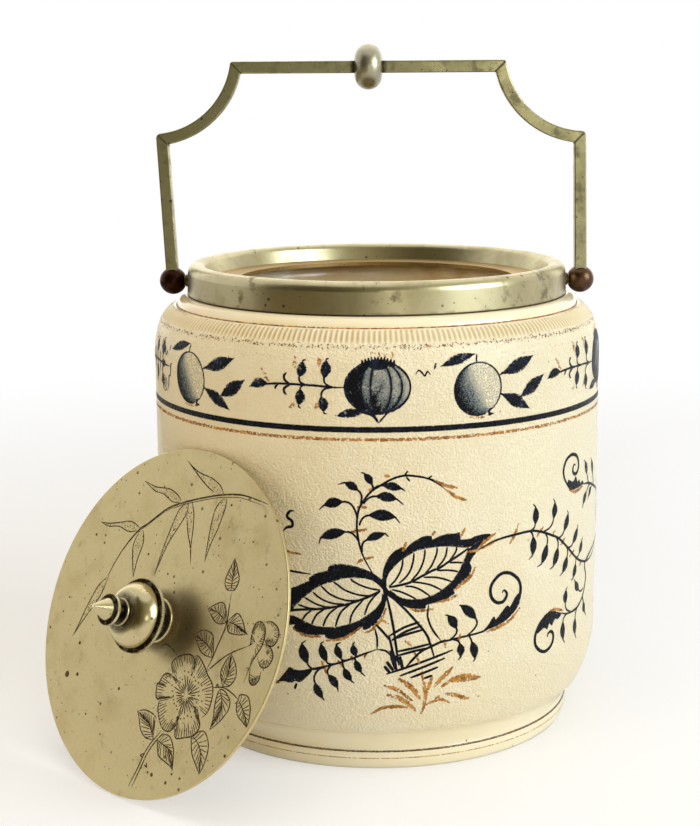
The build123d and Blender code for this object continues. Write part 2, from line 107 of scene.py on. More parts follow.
tuck_drop, tuck_run = side_foot - cove_top, body_radius - cove_top_radius
tuck_radius = (tuck_drop**2 + tuck_run**2) / (2 * tuck_run)
tuck_angle = math.degrees(math.asin(tuck_drop / tuck_radius))
rib_start = math.degrees(math.asin((rib_foot - side_top) / shoulder_rise))
shoulder_run = body_radius - shoulder_radius
outside = np.concatenate([
    [(foot_inner, 0)],
    straight((foot_inner, 0), (foot_under, 0), 2),
    through((foot_under, 0), (foot_top_radius, foot_height), foot_bulge, 6),
    straight((foot_top_radius, foot_height), (cove_foot_radius, cove_foot), 1),
    through((cove_foot_radius, cove_foot), (cove_top_radius, cove_top), -cove_depth, 7),
    quarter((body_radius - tuck_radius, side_foot), tuck_radius, tuck_radius, -tuck_angle, 0, 8),
    straight((body_radius, side_foot), (body_radius, side_top), 4),
    quarter((shoulder_radius, side_top), shoulder_run, shoulder_rise, 0, rib_start, 12),
    quarter((shoulder_radius, side_top), shoulder_run, shoulder_rise, rib_start, 90, 10),
    through((shoulder_radius, side_top + shoulder_rise), (moulding_top_radius, moulding_top),
            moulding_bulge, 8),
])
inside = np.concatenate([
    [(neck_radius, moulding_top), (neck_radius, neck_top), (neck_inner, neck_top)],
    straight((neck_inner, neck_top), (neck_inner, roof_foot + roof_rise), 2),
    quarter((neck_inner, roof_foot), wall_inner - neck_inner, roof_rise, 90, 0, 7),
    straight((wall_inner, roof_foot), (wall_inner, floor_height + floor_corner), 2),
    quarter((wall_inner - floor_corner, floor_height + floor_corner), floor_corner, floor_corner,
            0, -90, 6),
])
outside[1:, 0] -= glaze_inset


def jar_radius(height):
    """Radius of the glaze at a height, between the rows of the body's own mesh."""
    first = int(np.argmax(outside[:, 1] > 0)) - 1
    return np.interp(height, outside[first:, 1], outside[first:, 0])


def make_piece(name, points, faces, body, attributes=None):
    """Mesh object from points in millimetres and arrays of corner numbers; it rides on a body."""
    mesh = bpy.data.meshes.new(name)
    corners = np.concatenate([face.ravel() for face in faces]).astype(np.int32)
    sizes = np.concatenate([np.full(len(face), face.shape[1]) for face in faces])
    starts = np.concatenate([[0], np.cumsum(sizes)[:-1]]).astype(np.int32)
    mesh.vertices.add(len(points))
    mesh.vertices.foreach_set("co", (np.asarray(points) * MM).astype(np.float32).ravel())
    mesh.loops.add(len(corners))
    mesh.loops.foreach_set("vertex_index", corners)
    mesh.polygons.add(len(sizes))
    mesh.polygons.foreach_set("loop_start", starts)
    for label, values in (attributes or {}).items():
        layer = mesh.attributes.new(label, "FLOAT", "POINT")
        layer.data.foreach_set("value", np.asarray(values, np.float32).ravel())
    mesh.update(calc_edges=True)
    mesh.validate()
    mesh.shade_smooth()
    piece = bpy.data.objects.new(name, mesh)
    bpy.context.scene.collection.objects.link(piece)
    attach(piece, body)
    return piece


def turned(profile, columns, radius_change):
    """Closed surface of revolution from pole to pole, with its radius changed by (row, angle).

    Rows are circles of the profile; each pole is one point that a fan of triangles closes.
    """
    angle = np.arange(columns) * 2 * np.pi / columns
    radius = profile[:, :1] + radius_change(profile, angle)
    rings = np.stack([radius * np.sin(angle), -radius * np.cos(angle),
                      np.broadcast_to(profile[:, 1:], radius.shape)], axis=2)
    row, column = np.meshgrid(np.arange(len(profile) - 1), np.arange(columns), indexing="ij")
    here, after = row * columns + column, row * columns + (column + 1) % columns
    quads = np.stack([here, after, after + columns, here + columns], axis=2).reshape(-1, 4)
    count = len(profile) * columns
    first, last = np.arange(columns), count - columns + np.arange(columns)
    low = np.stack([np.roll(first, -1), first, np.full(columns, count)], axis=1)
    high = np.stack([last, np.roll(last, -1), np.full(columns, count + 1)], axis=1)
    poles = [(0, 0, recess_height), (0, 0, floor_height)]
    return np.concatenate([rings.reshape(-1, 3), poles]), [quads, low, high]


def cut_ribs(profile, angle):
    """Fine upright ribs: depth times a cosine of the angle, fading out at both ends of the band."""
    height = profile[:, 1:]
    fade = np.clip((height - rib_foot) / rib_run_in, 0, 1)
    fade = fade * np.clip((rib_head - height) / rib_run_out, 0, 1)
    fade = fade * (profile[:, :1] > neck_radius)
    return -rib_depth / 2 * fade * (1 - np.cos(rib_count * angle))


jar_profile = np.concatenate([
    [(pole_radius, recess_height), (recess_radius, recess_height)],
    outside, inside, [(pole_radius, floor_height)],
])
jar_points, jar_faces = turned(jar_profile, jar_columns, cut_ribs)
rows = np.arange(len(jar_profile))
outside_rows = (rows >= 2) & (rows < 2 + len(outside))
row_height = jar_profile[:, 1]
stippled = outside_rows & (row_height > cove_top - 0.2) & (row_height < rib_foot + 0.6)
hidden = ~outside_rows & (rows > 2)
all_round = np.ones(jar_columns)
groove = -cut_ribs(jar_profile, np.arange(jar_columns) * 2 * np.pi / jar_columns) / rib_depth
jar_attributes = {      # the last two values belong to the poles under the foot and on the floor
    "stipple": np.append(np.outer(stippled, all_round), [0, 0]),
    "inside": np.append(np.outer(hidden, all_round), [0, 1]),
    "groove": np.append(groove, [0, 0]),
}
stoneware = make_piece("stoneware", jar_points, jar_faces, "jar", jar_attributes)
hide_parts("jar_body")


def shade(red, green, blue):
    """Colour from a screen's 0 to 255 levels, as the linear values that a shader takes."""
    level = np.array([red, green, blue]) / 255
    linear = np.where(level <= 0.04045, level / 12.92, ((level + 0.055) / 1.055) ** 2.4)
    return (*linear.tolist(), 1.0)


def feed(tree, node, values):
    """Gives a node's sockets, by name or number, their values or links."""
    for socket, value in values.items():
        if isinstance(value, bpy.types.NodeSocket):
            tree.links.new(value, node.inputs[socket])
        else:
            node.inputs[socket].default_value = value
    return node


def place(tree, kind, feeds=None, **settings):
    """Node of a kind, with its settings and what feeds it."""
    node = tree.nodes.new(kind)
    for name, value in settings.items():
        setattr(node, name, value)
    return feed(tree, node, feeds or {})


def reckon(tree, operation, first, second=0.0, clamp=False):
    """Output of a Math node."""
    feeds = {0: first, 1: second}
    return place(tree, "ShaderNodeMath", feeds, operation=operation, use_clamp=clamp).outputs[0]


def plus(tree, first, second, clamp=False):
    """First and second added."""
    return reckon(tree, "ADD", first, second, clamp)


def less(tree, first, second, clamp=False):
    """Second taken from first."""
    return reckon(tree, "SUBTRACT", first, second, clamp)


def times(tree, first, second, clamp=False):
    """First times second."""
    return reckon(tree, "MULTIPLY", first, second, clamp)


def ramp(tree, value, low, high, start=0.0, end=1.0):
    """Value carried smoothly from start to end while it runs from low to high."""
    feeds = {0: value, 1: low, 2: high, 3: start, 4: end}
    return place(tree, "ShaderNodeMapRange", feeds, interpolation_type="SMOOTHSTEP").outputs[0]


def blend(tree, share, first, second):
    """Colour between first and second."""
    return place(tree, "ShaderNodeMix", {0: share, 6: first, 7: second}, data_type="RGBA").outputs[2]


def noise(tree, where, scale, detail=2.0, roughness=0.5, distortion=0.0):
    """Noise in object space; scale is in waves to the metre."""
    feeds = {"Vector": where, "Scale": scale, "Detail": detail, "Roughness": roughness,
             "Distortion": distortion}
    return place(tree, "ShaderNodeTexNoise", feeds).outputs[0]


def raised(tree, height, depth, strength):
    """Normal of a surface that stands up by its height times the depth, in metres."""
    feeds = {"Height": height, "Distance": depth, "Strength": strength}
    return place(tree, "ShaderNodeBump", feeds).outputs[0]


def own_place(tree):
    """The piece's Object coordinates."""
    return place(tree, "ShaderNodeTexCoord").outputs["Object"]


def attribute(tree, name):
    """A value that the mesh carries."""
    return place(tree, "ShaderNodeAttribute", attribute_name=name).outputs["Fac"]


def bare_tree(owner):
    """Emptied node tree of a material or a world."""
    owner.use_nodes = True
    owner.node_tree.nodes.clear()
    return owner.node_tree


def new_material(name, kind="ShaderNodeBsdfPrincipled"):
    """Material with one shader; returns it, its node tree and the shader."""
    made = bpy.data.materials.new(name)
    tree = bare_tree(made)
    shader = place(tree, kind)
    place(tree, "ShaderNodeOutputMaterial", {0: shader.outputs[0]})
    return made, tree, shader


def new_group(name, inputs, outputs):
    """Node group with inputs, given as name: usual value, and outputs, given as name: socket kind."""
    group = bpy.data.node_groups.new(name, "ShaderNodeTree")
    for label, value in inputs.items():
        kind = "NodeSocketFloat" if isinstance(value, float) else "NodeSocketColor"
        socket = group.interface.new_socket(name=label, in_out="INPUT", socket_type=kind)
        socket.default_value = value
    for label, kind in outputs.items():
        group.interface.new_socket(name=label, in_out="OUTPUT", socket_type=kind)
    return group, place(group, "NodeGroupInput").outputs, place(group, "NodeGroupOutput")


def use_group(tree, group, feeds=None):
    """Outputs of a node group placed in a material with its own values."""
    return place(tree, "ShaderNodeGroup", feeds, node_tree=group).outputs


def orange_peel_group():
    """Stippled ground: rounded grains, mottled in size, that paint and glaze both lie over."""
    group, _, out = new_group("orange_peel", {}, {"Height": "NodeSocketFloat"})
    where = own_place(group)
    grains = noise(group, where, 1500.0, 2.0, 0.45, 0.35)
    swells = noise(group, where, 420.0, 1.0)
    height = plus(group, ramp(group, grains, 0.36, 0.62), times(group, swells, 0.6))
    feed(group, out, {"Height": height})
    return group


def specks_group():
    """Small specks: dots in the middle of Voronoi cells, in the share of cells that chance picks."""
    usual = {"Scale": 400.0, "Share": 0.3, "Size": 0.2}
    group, given, out = new_group("specks", usual, {"Mask": "NodeSocketFloat"})
    feeds = {"Vector": own_place(group), "Scale": given["Scale"]}
    cells = place(group, "ShaderNodeTexVoronoi", feeds).outputs
    dots = reckon(group, "LESS_THAN", cells["Distance"], given["Size"])
    chance = place(group, "ShaderNodeSeparateColor", {0: cells["Color"]}).outputs[0]
    kept = reckon(group, "LESS_THAN", chance, given["Share"])
    feed(group, out, {"Mask": times(group, dots, kept)})
    return group


orange_peel, specks = orange_peel_group(), specks_group()
peel_depth, peel_strength = 0.0003, 0.85    # relief of the stippled ground
peel_top, peel_bare = 1.3, 1.4              # where its tops begin, and where paint has left them
cream, cream_deep, cream_pale = shade(239, 228, 194), shade(226, 208, 165), shade(243, 235, 209)
# The brown laid into the rib grooves stands for stain and for painted shade in the grooves.
iron_speck, groove_stain_and_shade_brown, biscuit_stain = shade(120, 78, 38), shade(176, 146, 78), shade(220, 194, 146)
# The lining's beige is paler than the cream outside: painted light for the dim inside of the neck.
lit_throat_beige = shade(244, 232, 200)


def peel(tree):
    """Height of the stippled ground."""
    return use_group(tree, orange_peel)["Height"]


def flecks(tree, scale, share, size):
    """Mask of specks of one kind."""
    return use_group(tree, specks, {"Scale": scale, "Share": share, "Size": size})["Mask"]


def stoneware_material():
    """Cream glaze, uneven in tone, with iron specks, rib grooves darkened brown as stain and painted shade,
    and a stained lining paler than the glaze as painted light for the dim inside.

    It is rough and stippled where the mesh says so, and smooth elsewhere.
    """
    made, tree, shader = new_material("cream_glaze")
    where = own_place(tree)
    rough_ground = attribute(tree, "stipple")
    clouds = noise(tree, where, 18.0, 3.0)
    tone = blend(tree, ramp(tree, clouds, 0.35, 0.7, 0.0, 0.35), cream, cream_deep)
    tone = blend(tree, ramp(tree, noise(tree, where, 70.0, 2.0), 0.45, 0.75, 0.0, 0.4), tone, cream_pale)
    tone = blend(tree, times(tree, flecks(tree, 330.0, 0.035, 0.11), 0.7), tone, iron_speck)
    # Rib grooves darkened brown by their depth: stain, and painted shade in the grooves.
    groove_stain_and_shade = times(tree, attribute(tree, "groove"), ramp(tree, clouds, 0.3, 0.7, 0.6, 1.0))
    tone = blend(tree, groove_stain_and_shade, tone, groove_stain_and_shade_brown)
    stain = ramp(tree, noise(tree, where, 30.0, 4.0, 0.6), 0.48, 0.68)
    # Painted light: the lining takes the pale beige, with darker stains over it.
    lit_lining = blend(tree, stain, lit_throat_beige, biscuit_stain)
    grain = times(tree, peel(tree), rough_ground)
    ripple = times(tree, noise(tree, where, 60.0, 2.0), 0.6)
    gloss = ramp(tree, less(tree, 1.0, rough_ground), 0.0, 1.0, 0.42, 0.16)
    wear = ramp(tree, clouds, 0.3, 0.7, -0.04, 0.05)
    feed(tree, shader, {
        "Base Color": blend(tree, attribute(tree, "inside"), tone, lit_lining),
        "Normal": raised(tree, plus(tree, grain, ripple), peel_depth, peel_strength),
        "Roughness": plus(tree, gloss, wear),
        "IOR": 1.5, "Coat Weight": 0.25, "Coat Roughness": 0.12,
    })
    return made


stoneware.data.materials.append(stoneware_material())

# --- Painted bands round the jar ------------------------------------------------------------------
# A blue band and lines of gilding, laid on with the jar turning on a wheel: the blue is dense with
# a ragged edge, the gilding has worn to brown crumbs.  A stroke is a grid of points on the unrolled
# side: u runs round the jar to the right of the front, at the body's radius, v is the height.

girth = 2 * math.pi * body_radius
paint_lift, gilt_lift, line_lift = 0.02, 0.022, 0.03     # how far each layer stands off the glaze


def on_jar(u, v, lift):
    """Point of the jar's side: angle u / body radius, radius of the glaze at v plus the lift."""
    angle, radius = u / body_radius, jar_radius(v) + lift
    return np.stack([radius * np.sin(angle), -radius * np.cos(angle), v], axis=-1)


def strokes_piece(name, strokes, lift, where=on_jar, body="jar", step=0.0002):
    """One piece of many strokes, each a hair's breadth above the one before it.

    A stroke is (grid of points n x m x 2, how far across 0 to 1, tone 0 to 1); where() carries the
    drawing's two coordinates and a lift on to the surface.  A grid wound the wrong way is turned
    over, told by the sign of the sum of its cells' areas.
    """
    points, faces, across, tones, start = [], [], [], [], 0
    for number, (grid, edge, tone) in enumerate(strokes):
        first, second = grid[1:, :-1] - grid[:-1, :-1], grid[:-1, 1:] - grid[:-1, :-1]
        if np.sum(first[..., 0] * second[..., 1] - first[..., 1] * second[..., 0]) > 0:
            grid, edge, tone = grid[::-1], edge[::-1], tone[::-1]
        height = lift + number * step
        points.append(where(grid[..., 0], grid[..., 1], height).reshape(-1, 3))
        n, m = grid.shape[:2]
        corner = start + np.arange(n * m).reshape(n, m)
        cells = [corner[:-1, :-1], corner[:-1, 1:], corner[1:, 1:], corner[1:, :-1]]
        faces.append(np.stack(cells, axis=2).reshape(-1, 4))
        across.append(edge.ravel())
        tones.append(tone.ravel())
        start += n * m
    carried = {"across": np.concatenate(across), "tone": np.concatenate(tones)}
    return make_piece(name, np.concatenate(points), faces, body, carried)


def ribbon(line, width, tone=1.0, taper=0.25, least=0.25):
    """Brush stroke along a line: three rows, half the width to either side.

    The width rises from a least share to its full size over the taper's share of the length at
    both ends.
    """
    line = np.asarray(line, float)
    share = np.linspace(0, 1, len(line))
    run = np.gradient(line, axis=0)
    run /= np.maximum(np.hypot(run[:, 0], run[:, 1]), 1e-9)[:, None]
    across = np.stack([-run[:, 1], run[:, 0]], axis=1)
    swell = np.minimum(np.minimum(share, 1 - share) / max(taper, 1e-6), 1)
    half = (width / 2 * (least + (1 - least) * swell))[:, None]
    grid = np.stack([line - across * half, line, line + across * half], axis=1)
    edge = np.tile([1.0, 0.0, 1.0], (len(line), 1))
    return grid, edge, np.full(edge.shape, tone)


def ring(height, width, tone):
    """Stroke of even width all round the jar."""
    line = np.stack([np.linspace(0, girth, jar_columns + 1), np.full(jar_columns + 1, height)], axis=1)
    return ribbon(line, width, tone, taper=0, least=1.0)


def ragged_group():
    """Where a stroke holds its colour: grains fall away at its edges and where its tone is thin.

    The share that holds is tone, less a fall towards the edge; a grain shows while its noise is
    under that share.  Skip is how far the tops of the stippled ground stay bare.
    """
    usual = {"Grain": 2400.0, "Edge": 0.8, "Fill": 1.0, "Skip": 0.1}
    group, given, out = new_group("ragged", usual, {"Alpha": "NodeSocketFloat"})
    grains = noise(group, own_place(group), given["Grain"], 2.0, 0.6)
    spread = plus(group, times(group, grains, 2.4), -0.7)
    fall = times(group, ramp(group, attribute(group, "across"), 0.45, 1.0), given["Edge"])
    held = less(group, times(group, attribute(group, "tone"), given["Fill"]), fall)
    sharp = plus(group, times(group, less(group, held, spread), 6.0), 0.5, clamp=True)
    bare = times(group, ramp(group, peel(group), peel_top, peel_bare), given["Skip"])
    feed(group, out, {"Alpha": less(group, sharp, bare, clamp=True)})
    return group


ragged = ragged_group()
ink_blue, ink_black, ink_grey = shade(14, 19, 32), shade(5, 6, 11), shade(104, 114, 114)
wash_pale = shade(212, 212, 196)
frieze_black, frieze_blue = shade(6, 8, 15), shade(22, 31, 52)
gilt_light, gilt_dark = shade(208, 152, 76), shade(146, 94, 36)
burnt_light, burnt_dark = shade(104, 64, 28), shade(58, 33, 16)
crumb_light, crumb_dark = shade(170, 106, 38), shade(112, 62, 16)


def paint_material(name, dark, light, roughness, metal=0.0, **hold):
    """Underglaze colour or worn gilding: two tones clouded together, ragged, stippled with the ground.

    Grain, Edge, Fill and Skip say how it holds, as the ragged group takes them.
    """
    made, tree, shader = new_material(name)
    cloud = ramp(tree, noise(tree, own_place(tree), 420.0, 3.0, 0.6), 0.38, 0.66)
    ground = peel(tree)
    feed(tree, shader, {
        "Base Color": blend(tree, cloud, dark, light),
        "Alpha": use_group(tree, ragged, hold)["Alpha"],
        "Normal": raised(tree, ground, peel_depth, peel_strength),
        "Roughness": ramp(tree, ground, 0.3, 1.4, roughness + 0.08, roughness - 0.08),
        "Metallic": metal, "Specular IOR Level": 0.12,
    })
    return made


ink_paint = paint_material("underglaze_blue", ink_black, ink_blue, 0.36, Grain=2600.0, Edge=0.55, Fill=1.25)
frieze_paint = paint_material("frieze_blue", frieze_black, frieze_blue, 0.36,
                              Grain=2600.0, Edge=0.6, Fill=1.15, Skip=0.5)
gilt_paint = paint_material("worn_gilding", gilt_dark, gilt_light, 0.42, Grain=1500.0, Edge=0.6, Fill=0.84)
burnt_gilt = paint_material("burnt_gilding", burnt_dark, burnt_light, 0.4, 0.1,
                            Grain=1700.0, Edge=0.5, Fill=1.1)
crumb_gilt = paint_material("gilding_crumbs", crumb_dark, crumb_light, 0.45,
                            Grain=1700.0, Edge=0.4, Fill=1.1)


def painted(name, strokes, paint, lift):
    """Strokes on the jar's side as one piece in one paint."""
    piece = strokes_piece(name, strokes, lift)
    piece.data.materials.append(paint)


# Height, width and tone of each ring.
blue_band, foot_band = (108.1, 1.75, 1.0), (5.75, 0.55, 0.95)
gilt_bands = ((105.15, 1.3, 0.8), (136.55, 0.75, 0.95), (3.6, 0.35, 0.8))
painted("blue_band", [ring(*blue_band)], ink_paint, paint_lift)
painted("gilt_rings", [ring(*band) for band in gilt_bands], gilt_paint, paint_lift)
painted("foot_line", [ring(*foot_band)], burnt_gilt, paint_lift)

# The roulette's lower edge has trapped iron-brown crumbs of gilding, and a few have strayed below it.
# Each band of them has a count, a lowest and highest place, and a smallest and largest size.
crumb_bands = ((1150, 131.2, 132.9, 0.1, 0.25), (260, 124.0, 131.5, 0.06, 0.15))
crumb_corners, crumb_squash = 7, 0.95
scatter = np.random.default_rng(11)


def crumbs(count, low, high, smallest, largest):
    """Small discs scattered round the jar between two heights, crowding towards their middle."""
    u = scatter.uniform(0, girth, count)
    v = scatter.normal((low + high) / 2, (high - low) / 5, count).clip(low, high)
    size = scatter.uniform(smallest, largest, count)
    turn = np.linspace(0, 2 * np.pi, crumb_corners + 1)
    made = []
    for x, y, radius in zip(u, v, size):
        rim = np.stack([x + radius * np.cos(turn), y + radius * crumb_squash * np.sin(turn)], axis=1)
        grid = np.stack([np.broadcast_to([x, y], rim.shape), rim], axis=1)
        made.append((grid, np.zeros(grid.shape[:2]), np.ones(grid.shape[:2])))
    return made


crumb_strokes = [crumb for band in crumb_bands for crumb in crumbs(*band)]
painted("gilt_crumbs", crumb_strokes, crumb_gilt, paint_lift)

# --- Frieze on the shoulder -----------------------------------------------------------------------
# Transfer-printed in dark blue and touched up in gilding: melon, peach and sprig, a traditional
# fruit frieze, repeated four times with a shorter filler where the ends of the print meet.

frieze_period, frieze_repeats = 96.3, 4
pen_weight, leaf_weight = 1.3, 1.3


def smooth_line(points, per_span=7):
    """Catmull-Rom curve through points: 0.5 (2 P1 + (P2-P0) t + (2P0-5P1+4P2-P3) tt + (...) ttt)."""
    points = np.asarray(points, float)
    ends = np.concatenate([[2 * points[0] - points[1]], points, [2 * points[-1] - points[-2]]])
    p0, p1, p2, p3 = ends[:-3, None], ends[1:-2, None], ends[2:-1, None], ends[3:, None]
    t = (np.arange(per_span) / per_span)[None, :, None]
    curve = 0.5 * (2 * p1 + (p2 - p0) * t + (2 * p0 - 5 * p1 + 4 * p2 - p3) * t**2
                   + (3 * p1 - p0 - 3 * p2 + p3) * t**3)
    return np.concatenate([curve.reshape(-1, 2), points[-1:]])


def line_stroke(points, width=0.55, tone=1.0, taper=0.2, least=0.35):
    """Ribbon along a smooth line through a few points, with the pen's own weight on the width."""
    return ribbon(smooth_line(points), pen_weight * width, tone, taper, least)


def almond(base, tip, width, bow=0.0, tone=1.0, fullness=0.7, rows=15):
    """Leaf blade: half width = weight width/2 sin(pi t)^fullness on a line bowed by 4 bow t (1-t)."""
    base, tip = np.array(base, float), np.array(tip, float)
    run = tip - base
    across = np.array([-run[1], run[0]]) / np.hypot(*run)
    t = np.linspace(0, 1, rows)[:, None]
    spine = base + run * t + across * 4 * bow * t * (1 - t)
    half = leaf_weight * width / 2 * np.sin(np.pi * np.clip(t, 0.004, 0.996)) ** fullness
    side = np.linspace(-1, 1, 5)
    grid = spine[:, None] + across * (half * side)[..., None]
    return grid, np.broadcast_to(np.abs(side), grid.shape[:2]).copy(), np.full(grid.shape[:2], tone)


def leaf_stalk(joint, base, along, pull, bite):
    """Stalk joint (1-t)^2 + 2 knee t (1-t) + base t^2, carried on into the blade by its bite.

    The knee lies back from the base along the blade, by a share of the stalk's reach.
    """
    t = np.linspace(0, 1, 8)[:, None]
    knee = base - along * np.hypot(*(base - joint)) * pull
    curve = joint * (1 - t) ** 2 + 2 * knee * t * (1 - t) + base * t**2
    return ribbon(np.concatenate([curve, [base + along * bite]]), pen_weight * 0.5, least=0.8)


def stalked_leaf(joint, base, tip, width, tail, curl):
    """Leaf on a curved stalk, its blade from base to tip, ending in a thin tail that curls aside."""
    joint, base, tip = (np.array(p, float) for p in (joint, base, tip))
    along = (tip - base) / np.hypot(*(tip - base))
    across = np.array([-along[1], along[0]])
    end = tip + along * tail * 0.75 + across * curl * tail
    hook = [tip - along * 0.5, tip + along * tail * 0.4 + across * curl * 0.15, end]
    return [leaf_stalk(joint, base, along, 0.6, 0.6), almond(base, tip, width, bow=0.12 * curl * width),
            line_stroke(hook, 0.5, taper=0.6)]


def disc(centre, half_width, half_height, tone_of, rows=14, columns=48):
    """Filled oval; tone_of gives the tone from x and y, each -1 to 1 across the oval."""
    reach, turn = np.meshgrid(np.linspace(0, 1, rows), np.linspace(0, 2 * np.pi, columns + 1),
                              indexing="ij")
    x, y = reach * np.cos(turn), reach * np.sin(turn)
    grid = np.stack([centre[0] + half_width * x, centre[1] + half_height * y], axis=2)
    return grid, np.zeros(x.shape), np.clip(tone_of(x, y), 0, 1.4)


def even(tone):
    """Tone that is the same all over a disc."""
    return lambda x, y: tone + 0 * x


def oval_line(centre, half_width, half_height, start, end, width=0.5, share=1.0):
    """Arc of an oval between two angles; share narrows it sideways, as a meridian on a ball."""
    turn = np.radians(np.linspace(start, end, 30))
    line = np.stack([centre[0] + share * half_width * np.cos(turn),
                     centre[1] + half_height * np.sin(turn)], axis=1)
    return ribbon(line, pen_weight * width, least=0.6)


def gilt_wisp(points, width=0.8, tone=0.55):
    """Touch of gilding of a real width, broken into crumbs."""
    return ribbon(smooth_line(points), width, tone, taper=0.3, least=0.5)


melon, melon_wide, melon_high = (0.3, 120.5), 9.5, 7.6
melon_seams = (-0.52, -0.22, 0.41, 0.74)
peach, peach_wide, peach_high = (30.7, 118.9), 7.6, 7.8


def melon_tone(x, y):
    """Dark left limb, a shadow in each seam, a curl of shade in the middle rib, and a dark foot."""
    meridian = x / np.sqrt(np.clip(1 - y**2, 0.02, 1))
    limb = np.clip((-meridian - 0.46) * 3.4, 0, 1)
    seam = sum(np.exp(-((meridian - seam_at) / 0.08) ** 2) for seam_at in melon_seams)
    curl = np.exp(-((meridian - 0.14 * np.sin(4.5 * y + 0.6)) / 0.11) ** 2) * np.clip(0.5 - 1.3 * y, 0, 1)
    foot = np.clip(-y - 0.2, 0, 1) * 0.6
    return 0.32 + 1.1 * limb + 0.24 * seam + 0.6 * curl + foot - 0.14 * x


def peach_tone(x, y):
    """Soft shading from a dark lower left limb to a bare upper right."""
    towards = -0.78 * x - 0.42 * y
    return 0.18 + 0.95 * towards + 0.6 * np.clip(x**2 + y**2 - 0.5, 0, 1) * (towards > 0)


def melon_strokes():
    """Wash and lines of the melon, with its crown of bristles, stalk and side leaf."""
    wash = [disc(melon, melon_wide, melon_high, melon_tone)]
    lines = [oval_line(melon, melon_wide, melon_high, 0, 360, 0.75)]
    crown = (melon[0] + 0.2, melon[1] + melon_high - 1.0)
    lines.append(disc(crown, 3.0, 1.5, even(1.0), 4, 20))
    lines += [oval_line(melon, melon_wide, melon_high, -88, 72, 0.5, share) for share in melon_seams]
    for step in range(11):
        x = melon[0] - 4.2 + 0.86 * step
        lean = 0.12 * (x - melon[0])
        top = melon[1] + melon_high - 0.1 * (x - melon[0]) ** 2 / 2
        lines.append(line_stroke([(x, top - 1.1), (x + 0.3 * lean, top + 0.2), (x + lean, top + 1.3)],
                                 1.15, taper=0.7, least=0.2))
    lines += [
        line_stroke([(-1.3, 113.1), (-0.4, 111.6), (0.4, 110.1)], 0.6),
        line_stroke([(3.2, 113.2), (1.8, 111.7), (0.5, 110.1)], 0.45),
        line_stroke([(0.3, 110.6), (-1.5, 112.4), (-4.4, 113.3)], 0.55),
        almond((-3.9, 113.2), (-11.6, 112.1), 2.1, bow=-0.35),
    ]
    gilt = [gilt_wisp([(x, 128.9), (x + 0.3, 129.9), (x + 0.2, 130.6)], 1.1) for x in (-1.8, 0.4, 2.3, 4.3)]
    gilt.append(gilt_wisp([(-11.2, 112.2), (-12.6, 111.8)], 1.1))
    gilt.append(gilt_wisp([(-7.4, 114.2), (-3.2, 112.9), (1.5, 112.9), (5.8, 114.6)], 0.8, 0.6))
    return wash, lines, gilt


def peach_strokes():
    """Wash and lines of the peach, its top leaf and the three lozenge leaves to its right."""
    wash = [disc(peach, peach_wide, peach_high, peach_tone)]
    lines = [
        oval_line(peach, peach_wide, peach_high, -52, 95, 0.42),
        oval_line(peach, peach_wide, peach_high, 95, 288, 0.6),
        line_stroke([(35.4, 112.9), (34.3, 112.2), (34.4, 111.2), (35.6, 111.3)], 0.7),
        line_stroke([(30.3, 126.6), (30.2, 127.8), (30.5, 129.1)], 0.45),
        almond((30.2, 129.2), (18.6, 126.1), 2.3, bow=-0.3, fullness=1.15),
        almond((38.0, 122.6), (51.2, 127.1), 3.2, bow=-0.2, fullness=1.3),
        almond((38.0, 116.9), (49.4, 111.1), 3.0, bow=0.25, fullness=1.3),
        almond((45.0, 114.9), (55.4, 121.1), 3.2, bow=-0.15, fullness=1.35),
        line_stroke([(37.8, 122.4), (39.2, 123.3)], 0.5),
        line_stroke([(37.9, 117.0), (39.4, 116.2)], 0.5),
        line_stroke([(11.3, 124.2), (12.2, 125.3), (13.2, 124.6), (14.0, 123.7), (14.8, 124.9),
                     (15.7, 123.9)], 0.42),
        line_stroke([(16.8, 125.4), (17.5, 127.3)], 0.45),
    ]
    gilt = [gilt_wisp([(27.6, 110.7), (31.5, 110.4), (36.2, 111.2)], 1.1)]
    return wash, lines, gilt


def sprig_strokes():
    """Sprig that points left from the melon: stem, two pairs of leaves, curls and an end leaf."""
    lines = [
        line_stroke([(-9, 120.5), (-13, 120.5), (-17.5, 120.8), (-22, 120.9), (-28, 120.9), (-33, 120.5),
                     (-39.6, 119.2)], 0.55),
        almond((-39.2, 119.3), (-32.8, 120.5), 2.3, bow=0.75, fullness=0.9),
        line_stroke([(-29.6, 120.7), (-30.3, 120.1), (-30.7, 119.2)], 0.55, least=0.6),
        line_stroke([(-25.6, 120.9), (-27.3, 121.9), (-27.7, 123.2), (-26.9, 124.3)], 0.62),
        line_stroke([(-25.6, 120.8), (-27.4, 119.8), (-27.8, 118.7), (-26.9, 117.6)], 0.62),
    ]
    for leaf in (
        ((-13.0, 120.6), (-15.4, 123.1), (-14.9, 128.2), 2.5, 0.9, -0.9),
        ((-12.8, 120.4), (-16.2, 117.7), (-15.6, 113.2), 2.4, 1.0, 0.9),
        ((-20.6, 120.9), (-22.9, 123.2), (-22.0, 127.6), 2.4, 1.0, -0.9),
        ((-21.6, 120.8), (-22.6, 119.6), (-23.2, 114.9), 2.4, 1.2, 0.7),
    ):
        lines += stalked_leaf(*leaf)
    gilt = [
        gilt_wisp([(-24.9, 129.0), (-24.3, 127.8), (-24.6, 126.6), (-24.2, 125.6)], 1.9, 0.6),
        gilt_wisp([(-17.2, 129.2), (-16.9, 127.9), (-17.1, 126.4)], 1.8, 0.6),
        gilt_wisp([(-35.4, 125.0), (-34.2, 123.6), (-33.6, 122.3), (-32.6, 121.2)], 1.4, 0.6),
        gilt_wisp([(-26.2, 113.9), (-25.2, 114.6), (-24.6, 115.2)], 1.9, 0.6),
        gilt_wisp([(-18.4, 114.0), (-17.5, 114.9), (-17.2, 115.8)], 1.8, 0.6),
    ]
    return [], lines, gilt


